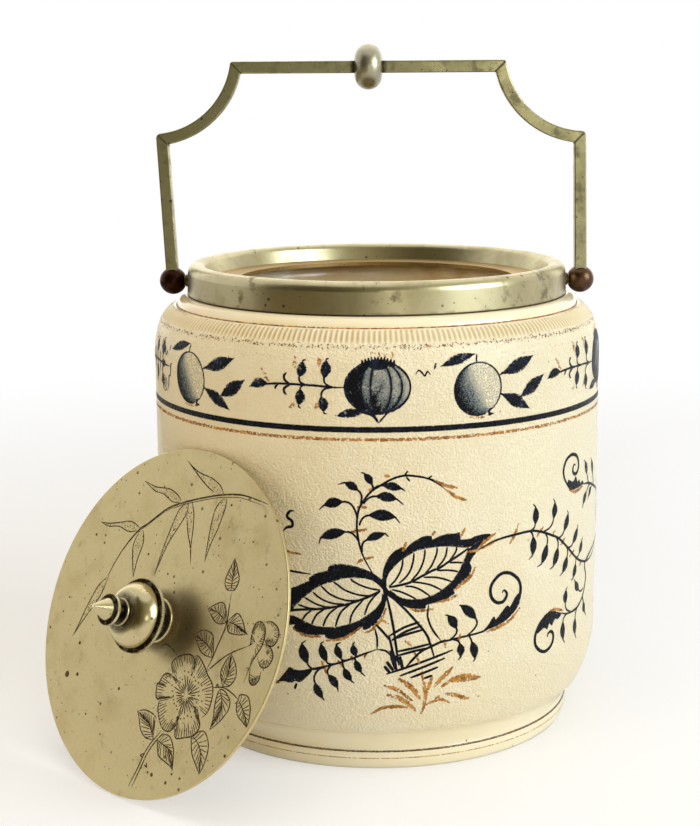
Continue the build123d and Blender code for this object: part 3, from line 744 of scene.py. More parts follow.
def filler_strokes():
    """Where the print's ends meet: a short scroll, a rosette and two loose leaves."""
    turn = np.linspace(0.3, 4.6 * np.pi, 46)
    coil = np.stack([-84.2 + 0.17 * turn * np.cos(turn), 114.3 + 0.19 * turn * np.sin(turn)], axis=1)
    lines = [
        ribbon(coil, 0.42, least=0.7),
        line_stroke([(-77.2, 121.8), (-78.3, 120.8), (-78.8, 117.9), (-80.0, 117.2), (-80.4, 114.5),
                     (-81.6, 112.4)], 0.5),
        almond((-82.6, 125.4), (-87.6, 125.7), 2.3),
        almond((-82.8, 120.9), (-87.4, 120.6), 2.0),
        line_stroke([(-88.6, 124.4), (-89.2, 121.0), (-88.8, 117.2)], 0.5),
    ]
    return [], lines, []


def shifted(strokes, run):
    """The same strokes, moved round the jar."""
    return [(grid + [run, 0], edge, tone) for grid, edge, tone in strokes]


frieze_washes, frieze_lines, frieze_gilding = [], [], []
frieze_motifs = [(melon_strokes(), 0, frieze_repeats), (peach_strokes(), -1, frieze_repeats),
                 (sprig_strokes(), 0, frieze_repeats + 1), (filler_strokes(), 0, 1)]
for (motif_wash, motif_lines, motif_gilt), begin, end in frieze_motifs:
    for turn_number in range(begin, end):
        run = turn_number * frieze_period
        frieze_washes += shifted(motif_wash, run)
        frieze_lines += shifted(motif_lines, run)
        frieze_gilding += shifted(motif_gilt, run)


def wash_material():
    """Thinned blue of the shading: pale where its tone is low, then grey, then stippled with black."""
    made, tree, shader = new_material("blue_wash")
    tone, ground = attribute(tree, "tone"), peel(tree)
    grains = noise(tree, own_place(tree), 2600.0, 2.0, 0.6)
    scattered = less(tree, grains, 0.5)
    mottled = plus(tree, tone, times(tree, scattered, 0.9))
    washed = blend(tree, ramp(tree, mottled, 0.02, 0.5), wash_pale, ink_grey)
    deep = ramp(tree, plus(tree, tone, times(tree, scattered, 2.0)), 0.5, 0.8)
    dense = plus(tree, times(tree, tone, 1.7), 0.3)
    covered = plus(tree, dense, times(tree, scattered, 1.6), clamp=True)
    bare = ramp(tree, ground, peel_top, peel_bare, 0.0, 0.45)
    feed(tree, shader, {
        "Base Color": blend(tree, deep, washed, ink_black),
        "Alpha": less(tree, covered, bare, clamp=True),
        "Normal": raised(tree, ground, peel_depth, peel_strength),
        "Roughness": ramp(tree, grains, 0.3, 0.7, 0.32, 0.44),
        "Specular IOR Level": 0.12,
    })
    return made


painted("frieze_wash", frieze_washes, wash_material(), paint_lift)
painted("frieze_lines", frieze_lines, frieze_paint, line_lift)
painted("frieze_gilding", frieze_gilding, gilt_paint, gilt_lift)

# --- Main painting on the side --------------------------------------------------------------------
# Hand-filled transfer in the blue onion manner: a spray of two broad leaves on a hatched trunk with
# sprigs and gilded ferns, twice round the jar, and between them scrolls either side of a flower.

spray_repeat = 227.75
scroll_middle = 115.9


def scalloped(*runs):
    """Edge made of smooth runs that meet in corners."""
    return np.concatenate([smooth_line(run, 5) for run in runs])


def evened(line, count):
    """A line as evenly spaced points along its length."""
    along = np.concatenate([[0], np.cumsum(np.hypot(*np.diff(line, axis=0).T))])
    at = np.linspace(0, along[-1], count)
    return np.stack([np.interp(at, along, line[:, 0]), np.interp(at, along, line[:, 1])], axis=1)


def band_between(outer, inner, count=120, tone=1.0):
    """Solid band between two edges, six points across."""
    one, other = evened(outer, count), evened(inner, count)
    part = np.linspace(0, 1, 6)
    grid = one[:, None] * (1 - part[:, None]) + other[:, None] * part[:, None]
    edge = np.broadcast_to(np.abs(2 * part - 1), grid.shape[:2]).copy()
    return grid, edge, np.full(edge.shape, tone)


def tailed_leaf(joint, base, tip, tail, width):
    """Stalk from the stem, blade from base to tip, and a hair that trails from the tip."""
    joint, base, tip, tail = (np.array(p, float) for p in (joint, base, tip, tail))
    run = tip - base
    along = run / np.hypot(*run)
    bow = -0.12 * math.copysign(width, np.cross(along, tail - tip))
    return [leaf_stalk(joint, base, along, 0.55, 0.7),
            almond(base - 0.1 * run, tip + 0.08 * run, 0.9 * width, bow=bow, fullness=0.9),
            line_stroke([tip - 0.6 * along, tip + 0.25 * along, tail], 0.55, taper=0.6)]


def broad_leaf(upper, upper_inner, lower, lower_inner, midrib, ribs):
    """Leaf with a thick scalloped border round a midrib and curved ribs; every line runs from its foot."""
    strokes = [band_between(scalloped(*upper), smooth_line(upper_inner)),
               band_between(scalloped(*lower), smooth_line(lower_inner)),
               line_stroke(midrib, 0.62, taper=0.1, least=0.7)]
    return strokes + [line_stroke(rib, 0.48, taper=0.12, least=0.7) for rib in ribs]


right_leaf = broad_leaf(
    [[(1.4, 63.4), (1.6, 65.7), (2.3, 67.9), (3.4, 70.1), (5.1, 71.8), (7, 72.8), (7.7, 73)],
     [(8.1, 72), (9.2, 73.3), (10.9, 74.6), (12.6, 75.5), (14.2, 76), (16.2, 75.9)],
     [(16.2, 74.8), (17.6, 75.3), (19.2, 75.9), (21.2, 76.2), (23.1, 76.1), (24.9, 76.4)],
     [(25, 74.1), (27, 74), (28.4, 74.1), (29.8, 74.6), (32, 74.9), (33.9, 74.9), (35, 74.7), (35.6, 74.3)]],
    [(2.7, 61.2), (2.7, 63.2), (3.7, 65.4), (5.1, 67), (6.4, 68.4), (7.8, 69.4), (9.5, 70.4), (11.4, 71.5),
     (13.7, 72), (16.4, 72.3), (18.7, 72.4), (20.9, 72.3), (23.7, 71.9), (27.8, 71.4), (31.5, 73),
     (35.4, 74)],
    [[(3, 58), (4.5, 57), (6.2, 55.9), (8.1, 54.7), (9.5, 54.1), (12, 53.8), (13.7, 53.7), (14.4, 53.9)],
     [(14.4, 54.8), (16.2, 55.1), (17.8, 55.4), (20, 55.9), (22, 56.8), (23.5, 57.75)],
     [(22.8, 58.4), (23.7, 59.4), (25.3, 60.7), (27.3, 62), (28.5, 63.7), (28.9, 65.4)],
     [(28.1, 65.9), (28.4, 67), (29.2, 68.3), (30.6, 69.8), (30.8, 70.9), (32.3, 72.3), (33.9, 73),
      (35.5, 73.7)]],
    [(3.7, 60.1), (4.8, 59.1), (6.2, 58), (7.8, 57.3), (9.5, 56.9), (13.4, 56.9), (15.3, 57.5), (17, 58),
     (18.9, 59), (20.6, 60.1), (22.3, 61.5), (23.7, 63.2), (24.8, 64.8), (25.6, 66.5), (26.4, 68.2),
     (27.1, 69.6), (27.8, 71), (31.5, 73), (35.4, 74)],
    [(3.4, 60.7), (6.2, 61.2), (8.9, 61.8), (10.9, 62.6), (13.4, 63.9), (16.4, 65.3), (18.4, 65.9),
     (21.4, 67.6), (24.5, 69.3), (27.8, 71.2)],
    [[(3.4, 60.9), (5.3, 62.9), (6.7, 65.4), (7.3, 67.3), (7.5, 69.3)],
     [(6.4, 61.9), (8.4, 63.7), (9.8, 65.9), (10.6, 68.7), (10.8, 70.9)],
     [(10, 62.6), (12, 64.8), (13.4, 67.6), (14, 70.1), (14.1, 71.9)],
     [(14.2, 64.6), (15.9, 66.5), (17, 68.7), (17.7, 70.7), (17.8, 72.3)],
     [(17.8, 66.1), (19.5, 67.9), (20.5, 69.8), (20.9, 72.2)],
     [(21.6, 67.9), (22.8, 69.3), (23.7, 70.7), (23.9, 71.9)],
     [(4.2, 60), (6.7, 59.3), (8.9, 58.3), (11.4, 56.9)],
     [(8.1, 60.9), (10.3, 60.7), (12.8, 59.6), (15.6, 57.6)],
     [(10.3, 62.1), (12.6, 61.8), (15.9, 60.9), (19.2, 59.1)],
     [(13.7, 63.4), (17, 63.2), (19.8, 62.5), (22.4, 61.4)],
     [(17.8, 65.2), (20.6, 65.1), (22.6, 64.8), (24.4, 64.3)],
     [(21.7, 67.3), (23.7, 67.2), (25.8, 66.9)]],
)
left_leaf = broad_leaf(
    [[(1.4, 63), (-0.3, 64.4), (-2.2, 65.6), (-4.4, 66.5), (-6.7, 67.2), (-9.2, 67.6), (-11.4, 67.7),
      (-13.3, 67.4), (-14.6, 66.7)],
     [(-14.9, 65.4), (-16.7, 65), (-18.3, 64.4), (-19.2, 64), (-20.7, 62.8)],
     [(-20.6, 61.9), (-22.5, 61.1), (-24.4, 60), (-26.1, 59.3), (-28.6, 57.5)],
     [(-30.5, 56), (-32, 53), (-33.5, 49.8)]],
    [(0.8, 60.8), (-0.6, 62.2), (-2.2, 63), (-4.7, 63.5), (-7.2, 63.5), (-10, 63.3), (-11.9, 62.6),
     (-13.9, 61.9), (-15.8, 61.3), (-18.3, 59.9), (-20.8, 57.9), (-23, 56), (-24, 54.7), (-25.3, 53.6),
     (-26.4, 52.2), (-31.5, 50.7)],
    [[(2.8, 58), (2.4, 55.6), (1.7, 53.3), (0.6, 51.1), (-0.6, 49.6), (-2.2, 48.3), (-3.9, 47.6),
      (-4.4, 47.8)],
     [(-4.4, 48.6), (-6.1, 47.2), (-8, 46.1), (-10, 45.1), (-12.2, 44.4), (-14.2, 44.2), (-15.8, 44.9)],
     [(-15.8, 45.6), (-17.2, 45.4), (-19.4, 45.2), (-21.7, 45.2), (-23.9, 45.6), (-25.3, 46.1),
      (-26.1, 46.8)],
     [(-25, 48), (-28, 47.6), (-31, 48.6), (-33.5, 49.8)]],
    [(1.3, 58.9), (1.1, 56.9), (0, 55), (-1.7, 53.3), (-3.6, 51.9), (-5.6, 50.6), (-7.8, 49.6), (-11.1, 48.6),
     (-13.3, 48.2), (-17.8, 48.1), (-19.7, 48.5), (-21.7, 49.2), (-23.3, 49.9), (-26.4, 50.8), (-31.5, 50.7)],
    [(0.8, 59.7), (-1.9, 58.2), (-4.4, 57.1), (-8.3, 55.6), (-11.9, 54.6), (-15.6, 53.8), (-19.7, 53.2),
     (-23.3, 52.8), (-26.4, 52.2), (-31, 50.7)],
    [[(0.8, 59.9), (-1.7, 60.3), (-4.4, 61.1), (-7.2, 62.5), (-7.9, 63.3)],
     [(-2.2, 58.2), (-4.4, 58.2), (-7.2, 58.8), (-10, 59.9), (-11.9, 61.3), (-13.2, 62.1)],
     [(-5.6, 56.8), (-8.3, 56.5), (-11.4, 57.1), (-14.2, 58.3), (-15.8, 59.6), (-16.9, 60.7)],
     [(-10, 55.4), (-12.8, 55.4), (-15.6, 56.1), (-17.8, 57.2), (-19.4, 58.6)],
     [(-13.3, 54.3), (-15.8, 54.3), (-18.3, 54.9), (-20.3, 55.8), (-22.1, 56.7)],
     [(-17.2, 53.5), (-20.6, 53.5), (-24.2, 54.3)],
     [(0.8, 59.6), (-1.1, 57.8), (-2.8, 55.3), (-3.9, 52.2)],
     [(-4.2, 56.9), (-6.4, 54.4), (-7.8, 51.9), (-8.3, 49.4)],
     [(-8, 55.6), (-10.6, 53.3), (-11.9, 50.8), (-12.6, 48.3)],
     [(-11.9, 54.4), (-14.2, 52.5), (-15.6, 50.3), (-16.4, 48.2)],
     [(-15.8, 53.6), (-18.1, 51.9), (-19.3, 50), (-19.9, 48.5)],
     [(-20, 52.8), (-21.7, 51.4), (-22.8, 49.7)]],
)
spray_stems = [
    ([(0.5, 61.5), (-2, 66), (-4.5, 71), (-5.7, 76), (-6, 80), (-5.5, 84), (-4.3, 86.5), (-2, 89.5),
      (1, 91.6), (4.5, 93.5), (8, 94.4), (12, 94), (15, 93.2), (18, 91.5), (20.5, 89.5)], 0.52),
    ([(8, 94.4), (9, 95.8)], 0.45), ([(8.5, 94), (9.6, 92.6)], 0.45), ([(15, 93.3), (16.2, 94)], 0.45),
    ([(15, 93.2), (17, 92.6)], 0.45), ([(-34, 67.5), (-28, 64.8), (-20, 64)], 0.52),
    ([(16, 42.3), (20, 43.1), (25, 43.8), (29, 44.2), (33, 44.8), (36, 46)], 0.52),
    ([(36, 46), (41, 47.5), (45, 51), (46.5, 55.5), (45.5, 59), (42, 61.6), (38.5, 61.6), (35.6, 58.8),
      (35.4, 55.5), (37.2, 53.2), (39.8, 53), (41.2, 55), (40.2, 56.5), (39.4, 55.8)], 0.85),
    ([(19, 43.5), (16.5, 47), (15, 51), (15.2, 55)], 0.5),
    ([(0, 41.7), (-4, 40.2), (-8, 38.5), (-14, 36.3), (-20, 34.5), (-25, 32.6)], 0.52),
    ([(-0.2, 41.7), (-0.2, 45), (-0.8, 48)], 0.5), ([(0, 41.6), (2.5, 41), (4.5, 39)], 0.5),
    ([(-25, 83), (-26.5, 82.7), (-27.3, 81), (-25.8, 79.8), (-25.7, 78.3), (-27.5, 77.7),
      (-28.7, 76.5)], 0.7),
]
spray_leaves = [
    ((-5.7, 75), (-9.8, 77.4), (-16.5, 75.5), (-17.5, 73.3), 2.8),
    ((-4.4, 71.5), (-3, 75.2), (2, 77), (3.3, 76.1), 2.2),
    ((-5.8, 81), (-10.5, 86.5), (-15.5, 85.3), (-17.3, 83.8), 2.7),
    ((-5.3, 79.5), (-2, 82.6), (5, 82), (6.7, 80.1), 3.0),
    ((-4, 86), (0, 88.3), (5.5, 87.4), (7.7, 85.7), 2.6),
    ((-1.3, 90.3), (2, 91.5), (7, 90.5), (8.3, 89.7), 2.2),
    ((-4.9, 86.2), (-5.8, 90.2), (-9.3, 92.2), (-11.4, 91.7), 2.2),
    ((-1.2, 90.5), (-1.6, 92), (-3.7, 95), (-4.8, 95.4), 2.0),
    ((22, 43.6), (23.8, 47), (21.3, 50.9), (20.2, 51.3), 2.5),
    ((27.5, 44.2), (30, 49.3), (25.5, 53.6), (24.8, 53.8), 2.6),
    ((23, 43.3), (25, 41.8), (25.3, 38), (24.5, 36.8), 2.2),
    ((28, 44), (29, 41.8), (30, 36.8), (29.5, 35.6), 2.4),
    ((-5.3, 39.7), (-6.5, 39.6), (-7.3, 42.8), (-6.8, 43.8), 2.0),
    ((-9, 38.2), (-11, 38.6), (-12.3, 42.5), (-11, 43.6), 2.1),
    ((-13, 36.8), (-15.5, 37.5), (-17, 42.5), (-16.2, 43.5), 2.3),
    ((-15, 36), (-21.5, 36.5), (-23, 42), (-21.7, 43.4), 2.8),
    ((-7, 38.8), (-6.6, 38), (-5, 34.5), (-3.8, 33.2), 2.0),
    ((-10.5, 37.5), (-10, 35.3), (-8, 31.8), (-7, 31), 2.1),
    ((-14, 36.2), (-14.8, 33), (-12.3, 29.3), (-12, 27.9), 2.3),
    ((-17, 35.3), (-19, 30), (-17, 25.6), (-16.4, 24.6), 2.4),
]
spray_bands = [
    ([(33, 44.8), (36, 45.4), (41, 46.9), (45.6, 50.5), (47, 54.5)],
     [(33, 45.2), (34.5, 46.5), (36.5, 49), (37.2, 47.8), (40, 50.5), (41.5, 51.7), (42.3, 50.8),
      (44.5, 53.8), (46.4, 55)]),
    ([(-20, 34.8), (-23, 34), (-25, 33.8), (-27.3, 34.4), (-28.6, 32.8), (-30, 31), (-31.4, 29.3)],
     [(-20, 33.8), (-22, 31.5), (-24, 29.9), (-25.4, 30.2), (-27, 29.3), (-29, 29.6), (-31.4, 29.1)]),
]
trunk_lines = [
    [(2.6, 58.5), (3.8, 53), (4.7, 48), (5.5, 42), (6.3, 36.5)],
    [(3, 58.8), (7.5, 54.5), (11, 50.5), (14.4, 46), (15.6, 43.2), (16.9, 38.8)],
    [(-0.5, 49.3), (2, 46.5), (4, 44)], [(3.3, 46), (4.5, 40.5), (5.7, 35)],
    [(3.5, 45.8), (8, 48.3), (12.5, 49.7)], [(4.2, 44.3), (8, 46.8), (13.2, 48.6)],
    [(4.2, 44.6), (9, 46.2), (13.8, 47.3)], [(5.5, 40.8), (11, 41.8), (16, 42.8)],
    [(6, 39.6), (11, 40.8), (16, 41.6)],
    [(8.3, 35.7), (10, 37.7), (12.8, 40.4), (15.8, 41.8), (19.2, 43.1), (21.1, 43.4)],
    [(2.5, 33.9), (22.8, 40.2)], [(6.5, 33.2), (20.3, 37.9)], [(9.7, 32.5), (18.2, 35.3)],
    [(13.9, 32.1), (16.5, 32.8)], [(-25, 29.5), (-25.8, 27.5)],
]
ground_fans = [[(1.9, 36.4), (3.6, 34.3)], [(2.6, 37.8), (4.6, 34.9)], [(3.9, 39.8), (5.3, 35.2)],
               [(3.6, 41.2), (6.2, 37.6)], [(6.6, 39.4), (7.4, 35.2)]]
crossing = [[(1.7, 63.4), (2.1, 60.6), (2.5, 57.8)], [(0.7, 62.2), (2.2, 60.2), (3.6, 58.4)]]
spray_gilding = [
    ([(20.5, 89.5), (24, 87), (27, 85.9)], 1.2), ([(17, 92.5), (21, 90.6), (24, 89.8)], 1.2),
    ([(2, 94.5), (3.8, 94.3)], 1.0), ([(-2.8, 90.3), (-1, 90.2)], 1.0), ([(-6, 85), (-3, 85)], 1.0),
    ([(-8, 77.5), (-3, 78.4)], 1.0), ([(-6.1, 67.9), (-4.4, 69.2), (-1.1, 70)], 1.0),
    ([(7.4, 71.5), (8.5, 74.4)], 1.1), ([(16.2, 76), (17.3, 77.2)], 1.0), ([(25, 74.6), (26.6, 77.5)], 1.1),
    ([(31.2, 70.9), (33.1, 72.6), (37, 74.8)], 1.2), ([(30.3, 70.4), (34.2, 71.4), (38.1, 72.5)], 1.0),
    ([(30, 65.1), (29, 63.2), (27, 61.2), (24.8, 59.8), (22.8, 58.6)], 1.2),
    ([(24.2, 57.2), (22, 56.2), (17.6, 55.4)], 1.1), ([(16.7, 53.4), (12.6, 53.2), (9.5, 53.9)], 1.1),
    ([(2.5, 54.4), (1.1, 50.8), (-0.3, 49.3), (-1.9, 47.5), (-3.9, 46.7)], 1.1),
    ([(-5, 48.6), (-7.2, 46.7), (-10, 44.9), (-12.2, 44.2), (-15.6, 43.8)], 1.1),
    ([(1.1, 50.8), (3.3, 49.4)], 0.9), ([(-26, 46.8), (-22, 44.8), (-17, 45)], 1.0),
    ([(-30, 30), (-32, 28.6)], 1.1), ([(34, 44.4), (38, 45.2), (42.5, 46.8), (46.4, 50)], 1.2),
    ([(-17, 37.5), (-15.5, 33.5)], 1.0), ([(-12, 38), (-10.8, 35.8)], 1.0), ([(-8, 39.5), (-7.5, 38)], 1.0),
    ([(-3.3, 40.7), (-4, 38.8)], 0.8), ([(8, 44.2), (10, 42.4)], 0.8),
    ([(10.6, 41), (11.7, 38.8), (12.4, 36.8)], 0.8), ([(13, 34.3), (13.5, 32.7)], 0.8),
    ([(20.3, 44), (20.4, 41)], 0.8), ([(25.3, 45.2), (24.6, 42.7)], 0.8),
]
gilt_fern = [
    ([(-2.2, 20.6), (0.6, 22.4), (2.5, 23.1), (6.1, 23.2), (9.2, 22.7)], 1.1),
    ([(11.7, 21.3), (10, 23.2), (8, 24.9), (6.1, 26.3), (4.4, 26.6), (2.6, 27.3)], 1.3),
    ([(10.6, 24.9), (8.6, 26.6), (6.7, 28.2), (4.2, 29.5), (1.7, 30.4)], 1.1),
    ([(12.8, 25.4), (11.7, 27.1), (10.6, 28.8), (8.9, 30.4), (7.8, 31.3), (6.1, 32.3)], 1.4),
    ([(13.2, 20.2), (14, 22.1), (14.3, 24.3), (14.4, 26.6), (14, 29.6), (13.6, 31.6), (13.2, 33.2)], 1.0),
    ([(14.6, 26.6), (15.3, 29.3), (16, 31.3), (16.4, 32.7)], 1.0), ([(17.5, 24.8), (18.9, 26.1)], 0.9),
    ([(14.2, 22.7), (15.6, 23.8), (17.2, 24.3), (18.9, 24.8), (20.6, 24.2), (22.4, 23.2)], 0.9),
    ([(20.6, 26.4), (22.8, 26.1), (25, 25.3), (26.9, 24.3), (28.8, 23.9)], 1.2),
    ([(16.9, 29), (18.6, 31), (20, 32.4), (21.4, 33.5), (22.9, 34.8)], 1.3),
    ([(19.2, 28.9), (21.7, 30.2)], 1.0),
]
scroll_stems = [
    ([(31, 70.3), (36, 72.2), (41, 73), (50, 73.3), (55, 72.2), (60, 70.2), (64, 68.3), (69, 64.5),
      (75, 59.8), (80, 57.3), (86, 56), (93, 56.8), (101, 60.5)], 0.62),
    ([(101, 60), (92, 58.5), (86, 57), (83, 55.5), (84.4, 51), (82.5, 46.5), (79.5, 44), (76, 42.7),
      (70, 42.7), (65.5, 44)], 0.65),
    ([(65.5, 44), (60, 45.5), (56, 43.8), (53.3, 40.5), (53, 37), (55, 34.5), (58, 33.5), (61, 35),
      (61.8, 37.7), (60.5, 39.3), (59, 38.8), (58.8, 37.8)], 0.85),
    ([(104, 74), (100, 76.5), (95, 78.3), (90, 80.2), (85, 81.6), (80, 82.3)], 0.65),
    ([(71, 82.5), (67.5, 85.5), (66, 89), (67.5, 92.3), (71, 93.5), (74.5, 92.4), (76, 89.5), (75, 87.3),
      (73, 87), (71.8, 88.3), (72.5, 90), (73.7, 89.7)], 0.85),
]
scroll_leaves = [
    ((50, 73.3), (52.3, 75.3), (52.3, 80.2), (51.2, 81.5), 2.4),
    ((56, 72.1), (61, 75.5), (61.5, 80), (60.7, 81.6), 2.4),
    ((63.5, 68.6), (67, 70.3), (69.2, 75), (68.6, 76.3), 2.4),
    ((69.5, 64.3), (72.8, 65), (76, 69), (76.2, 70.3), 2.3),
    ((75.5, 59.6), (77.8, 60.5), (80, 64), (80.4, 65.2), 2.2),
    ((50, 73.2), (51.4, 71), (51.3, 65.8), (49.7, 64.4), 2.5),
    ((56.5, 71.8), (57.8, 67.5), (55.5, 62.3), (53.4, 61.4), 2.5),
    ((62, 69.4), (63.4, 65.2), (61.3, 60.3), (59.3, 59.4), 2.5),
    ((68, 65.3), (69, 61.3), (66.5, 57), (64.8, 56.2), 2.5),
    ((75, 59.8), (75, 57.5), (73.4, 53.6), (72, 53), 2.3),
    ((72, 42.9), (68.5, 46.5), (68.8, 50.5), (69.6, 51.6), 2.4),
    ((70, 42.8), (67.2, 40.5), (67.5, 35), (68.6, 33.4), 2.4),
    ((77.5, 43.3), (75.4, 39.5), (75.6, 34.5), (76.6, 32.7), 2.4),
    ((82, 48), (77.8, 48.5), (75, 51.7), (74.4, 52.8), 2.3),
    ((81.5, 45), (82.5, 43), (84, 39.5), (85.5, 37.8), 2.3),
    ((86, 81.3), (83.6, 85), (81.6, 89), (80.6, 90), 2.2),
    ((88, 80.7), (83.5, 79), (80.5, 75.8), (80.2, 74.4), 2.2),
    ((93, 79.2), (91, 83.5), (89, 88), (88.2, 89.4), 2.2),
    ((93, 79), (89, 79.2), (86, 77.2), (85.2, 76), 2.1),
]
scroll_bands = [
    ([(66, 43.6), (60, 45.6), (56, 44.2), (53.1, 41)],
     [(66, 43.2), (64, 42.3), (62.6, 42.8), (61, 41), (59.7, 42), (58.5, 40.3), (57.2, 41.2), (54, 40)]),
    ([(80.5, 82.4), (76, 82.0), (70.5, 82.4), (68, 84.4)],
     [(80.5, 82.8), (79, 83.7), (77.8, 83.1), (76.5, 84.7), (75.4, 84), (74, 86.3), (72.3, 84.8), (69, 86)]),
]
scroll_gilding = [
    ([(45.5, 76.5), (44, 73.4), (42, 70.6)], 1.1), ([(56, 73.6), (53, 71)], 1.1),
    ([(62, 71.2), (60.5, 70)], 1.2),
    ([(67.5, 67.7), (65, 66)], 1.2), ([(74, 62.4), (70.5, 61)], 1.1), ([(80, 57.3), (78, 56.3)], 1.1),
    ([(67, 44.5), (62, 45.9), (57, 44.9)], 1.2), ([(69.5, 82.8), (74, 81.2), (80, 81.8)], 1.2),
    ([(27, 70), (31, 70.3), (36, 72.2), (40, 72.8)], 1.0),
]
flower_middle, flower_petals, flower_turn = (scroll_middle, 66.5), 9, 0.25
petal_reach, petal_width, heart_radius, hem_width = 14.5, 6.2, 4.0, 1.4


def petal(angle):
    """Flower petal: a broad outline round three fine stripes, from the heart outwards."""
    out = np.array([math.cos(angle), math.sin(angle)])
    side = np.array([-out[1], out[0]])
    share = np.linspace(0, 1, 15)[:, None]
    spread = side * np.sin(np.pi * share**1.5) ** 0.8 * petal_width / 2
    heart = np.array(flower_middle) + out * heart_radius
    length = petal_reach - heart_radius
    rims = [heart + out * length * share + s * spread for s in (-1, 1)]
    hems = [heart + out * (length - hem_width) * share + s * spread * 0.66 for s in (-1, 1)]
    strokes = [band_between(rim, hem, 24) for rim, hem in zip(rims, hems)]
    for s in (-0.9, 0, 0.9):
        stripe = [heart + out * 0.8 + s * side * 0.5, heart + out * petal_reach * 0.42 + s * side * 0.9]
        strokes.append(line_stroke(stripe, 0.4))
    return strokes


def flower_strokes():
    """Open flower between the scrolls: petals round a dotted heart."""
    strokes = []
    for number in range(flower_petals):
        strokes += petal(2 * np.pi * (number + flower_turn) / flower_petals)
    strokes.append(oval_line(flower_middle, 3.7, 3.7, 0, 360, 0.6))
    for ring_radius, dots in ((1.1, 5), (2.4, 10)):
        for turn in np.arange(dots) * 2 * np.pi / dots:
            at = flower_middle + ring_radius * np.array([math.cos(turn), math.sin(turn)])
            strokes.append(disc(at, 0.35, 0.35, even(1.0), 3, 8))
    return strokes


def flipped(strokes):
    """Strokes mirrored about the middle of the flower."""
    return [(grid * [-1, 1] + [2 * scroll_middle, 0], edge, tone) for grid, edge, tone in strokes]


def filled(bands):
    """Solid bands, each given by its two edges."""
    return [band_between(smooth_line(outer), smooth_line(inner), 30) for outer, inner in bands]


def leafy(leaves):
    """Strokes of many tailed leaves."""
    return [stroke for leaf in leaves for stroke in tailed_leaf(*leaf)]


def gilded(touches, weight):
    """Touches of gilding, each given by its line and width, with a weight on all widths."""
    return [gilt_wisp(line, weight * width, 0.9) for line, width in touches]


spray_strokes = right_leaf + left_leaf
spray_strokes += [line_stroke(line, width) for line, width in spray_stems]
for pen_lines, pen_width, pen_least in ((trunk_lines, 0.62, 0.6), (crossing, 1.0, 0.8),
                                        (ground_fans, 0.8, 0.6)):
    spray_strokes += [line_stroke(line, pen_width, least=pen_least) for line in pen_lines]
spray_strokes += filled(spray_bands) + leafy(spray_leaves)
scroll_strokes = [line_stroke(line, width) for line, width in scroll_stems]
scroll_strokes += filled(scroll_bands) + leafy(scroll_leaves)
scroll_pair = scroll_strokes + flipped(scroll_strokes) + flower_strokes()
spray_gilt = gilded(spray_gilding, 1.15) + gilded(gilt_fern, 1.45)
spray_gilt.append(almond((21.0, 30.6), (32.2, 30.4), 2.6, bow=0.4, tone=0.9))
scroll_gilt = gilded(scroll_gilding, 1.2)
scroll_gilt_pair = scroll_gilt + flipped(scroll_gilt)
painted("side_painting_front", spray_strokes + scroll_pair, ink_paint, paint_lift)
back_painting = shifted(spray_strokes, spray_repeat) + shifted(scroll_pair, -spray_repeat)
painted("side_painting_back", back_painting, ink_paint, paint_lift)
side_gilding = spray_gilt + scroll_gilt_pair + shifted(spray_gilt, spray_repeat)
side_gilding += shifted(scroll_gilt_pair, -spray_repeat)
painted("side_gilding", side_gilding, gilt_paint, gilt_lift)

# --- Plaster under the mount ----------------------------------------------------------------------
# Plaster of Paris holds the mount on the glazed neck.  It is poured through the mouth and stays
# hidden, gritty and yellowed.


def finish_nodes(material, *names):
    """Gives the drawn pieces their material."""
    for name in names:
        node = frame["nodes"][name]
        if not node.material_slots:
            node.data.materials.append(material)
        for slot in node.material_slots:
            slot.material = material


def plaster_material():
    """Dry plaster: chalky, yellowed in patches, with small blow holes."""
    made, tree, shader = new_material("old_plaster")
    where = own_place(tree)
    grain = noise(tree, where, 1400.0, 3.0, 0.6)
    yellowed = ramp(tree, noise(tree, where, 90.0, 3.0), 0.4, 0.65)
    tone = blend(tree, yellowed, shade(226, 217, 196), shade(196, 178, 142))
    holes = flecks(tree, 700.0, 0.12, 0.22)
    feed(tree, shader, {
        "Base Color": blend(tree, holes, tone, shade(140, 122, 92)),
        "Normal": raised(tree, less(tree, grain, holes), 0.0001, 0.7),
        "Roughness": ramp(tree, grain, 0.3, 0.7, 0.82, 0.95),
    })
    return made


finish_nodes(plaster_material(), "plaster_bedding")

# --- Mount: collar and seat ring ------------------------------------------------------------------
# Spun from sheet, rolled over the crown and plated; the lid drops on a ring soldered inside it.  The
# plating has clouded and warmed, and painted shade darkens it where the collar meets the glazed moulding.

plate_bright, plate_dull, plate_dark = shade(190, 180, 142), shade(128, 112, 72), shade(60, 44, 24)


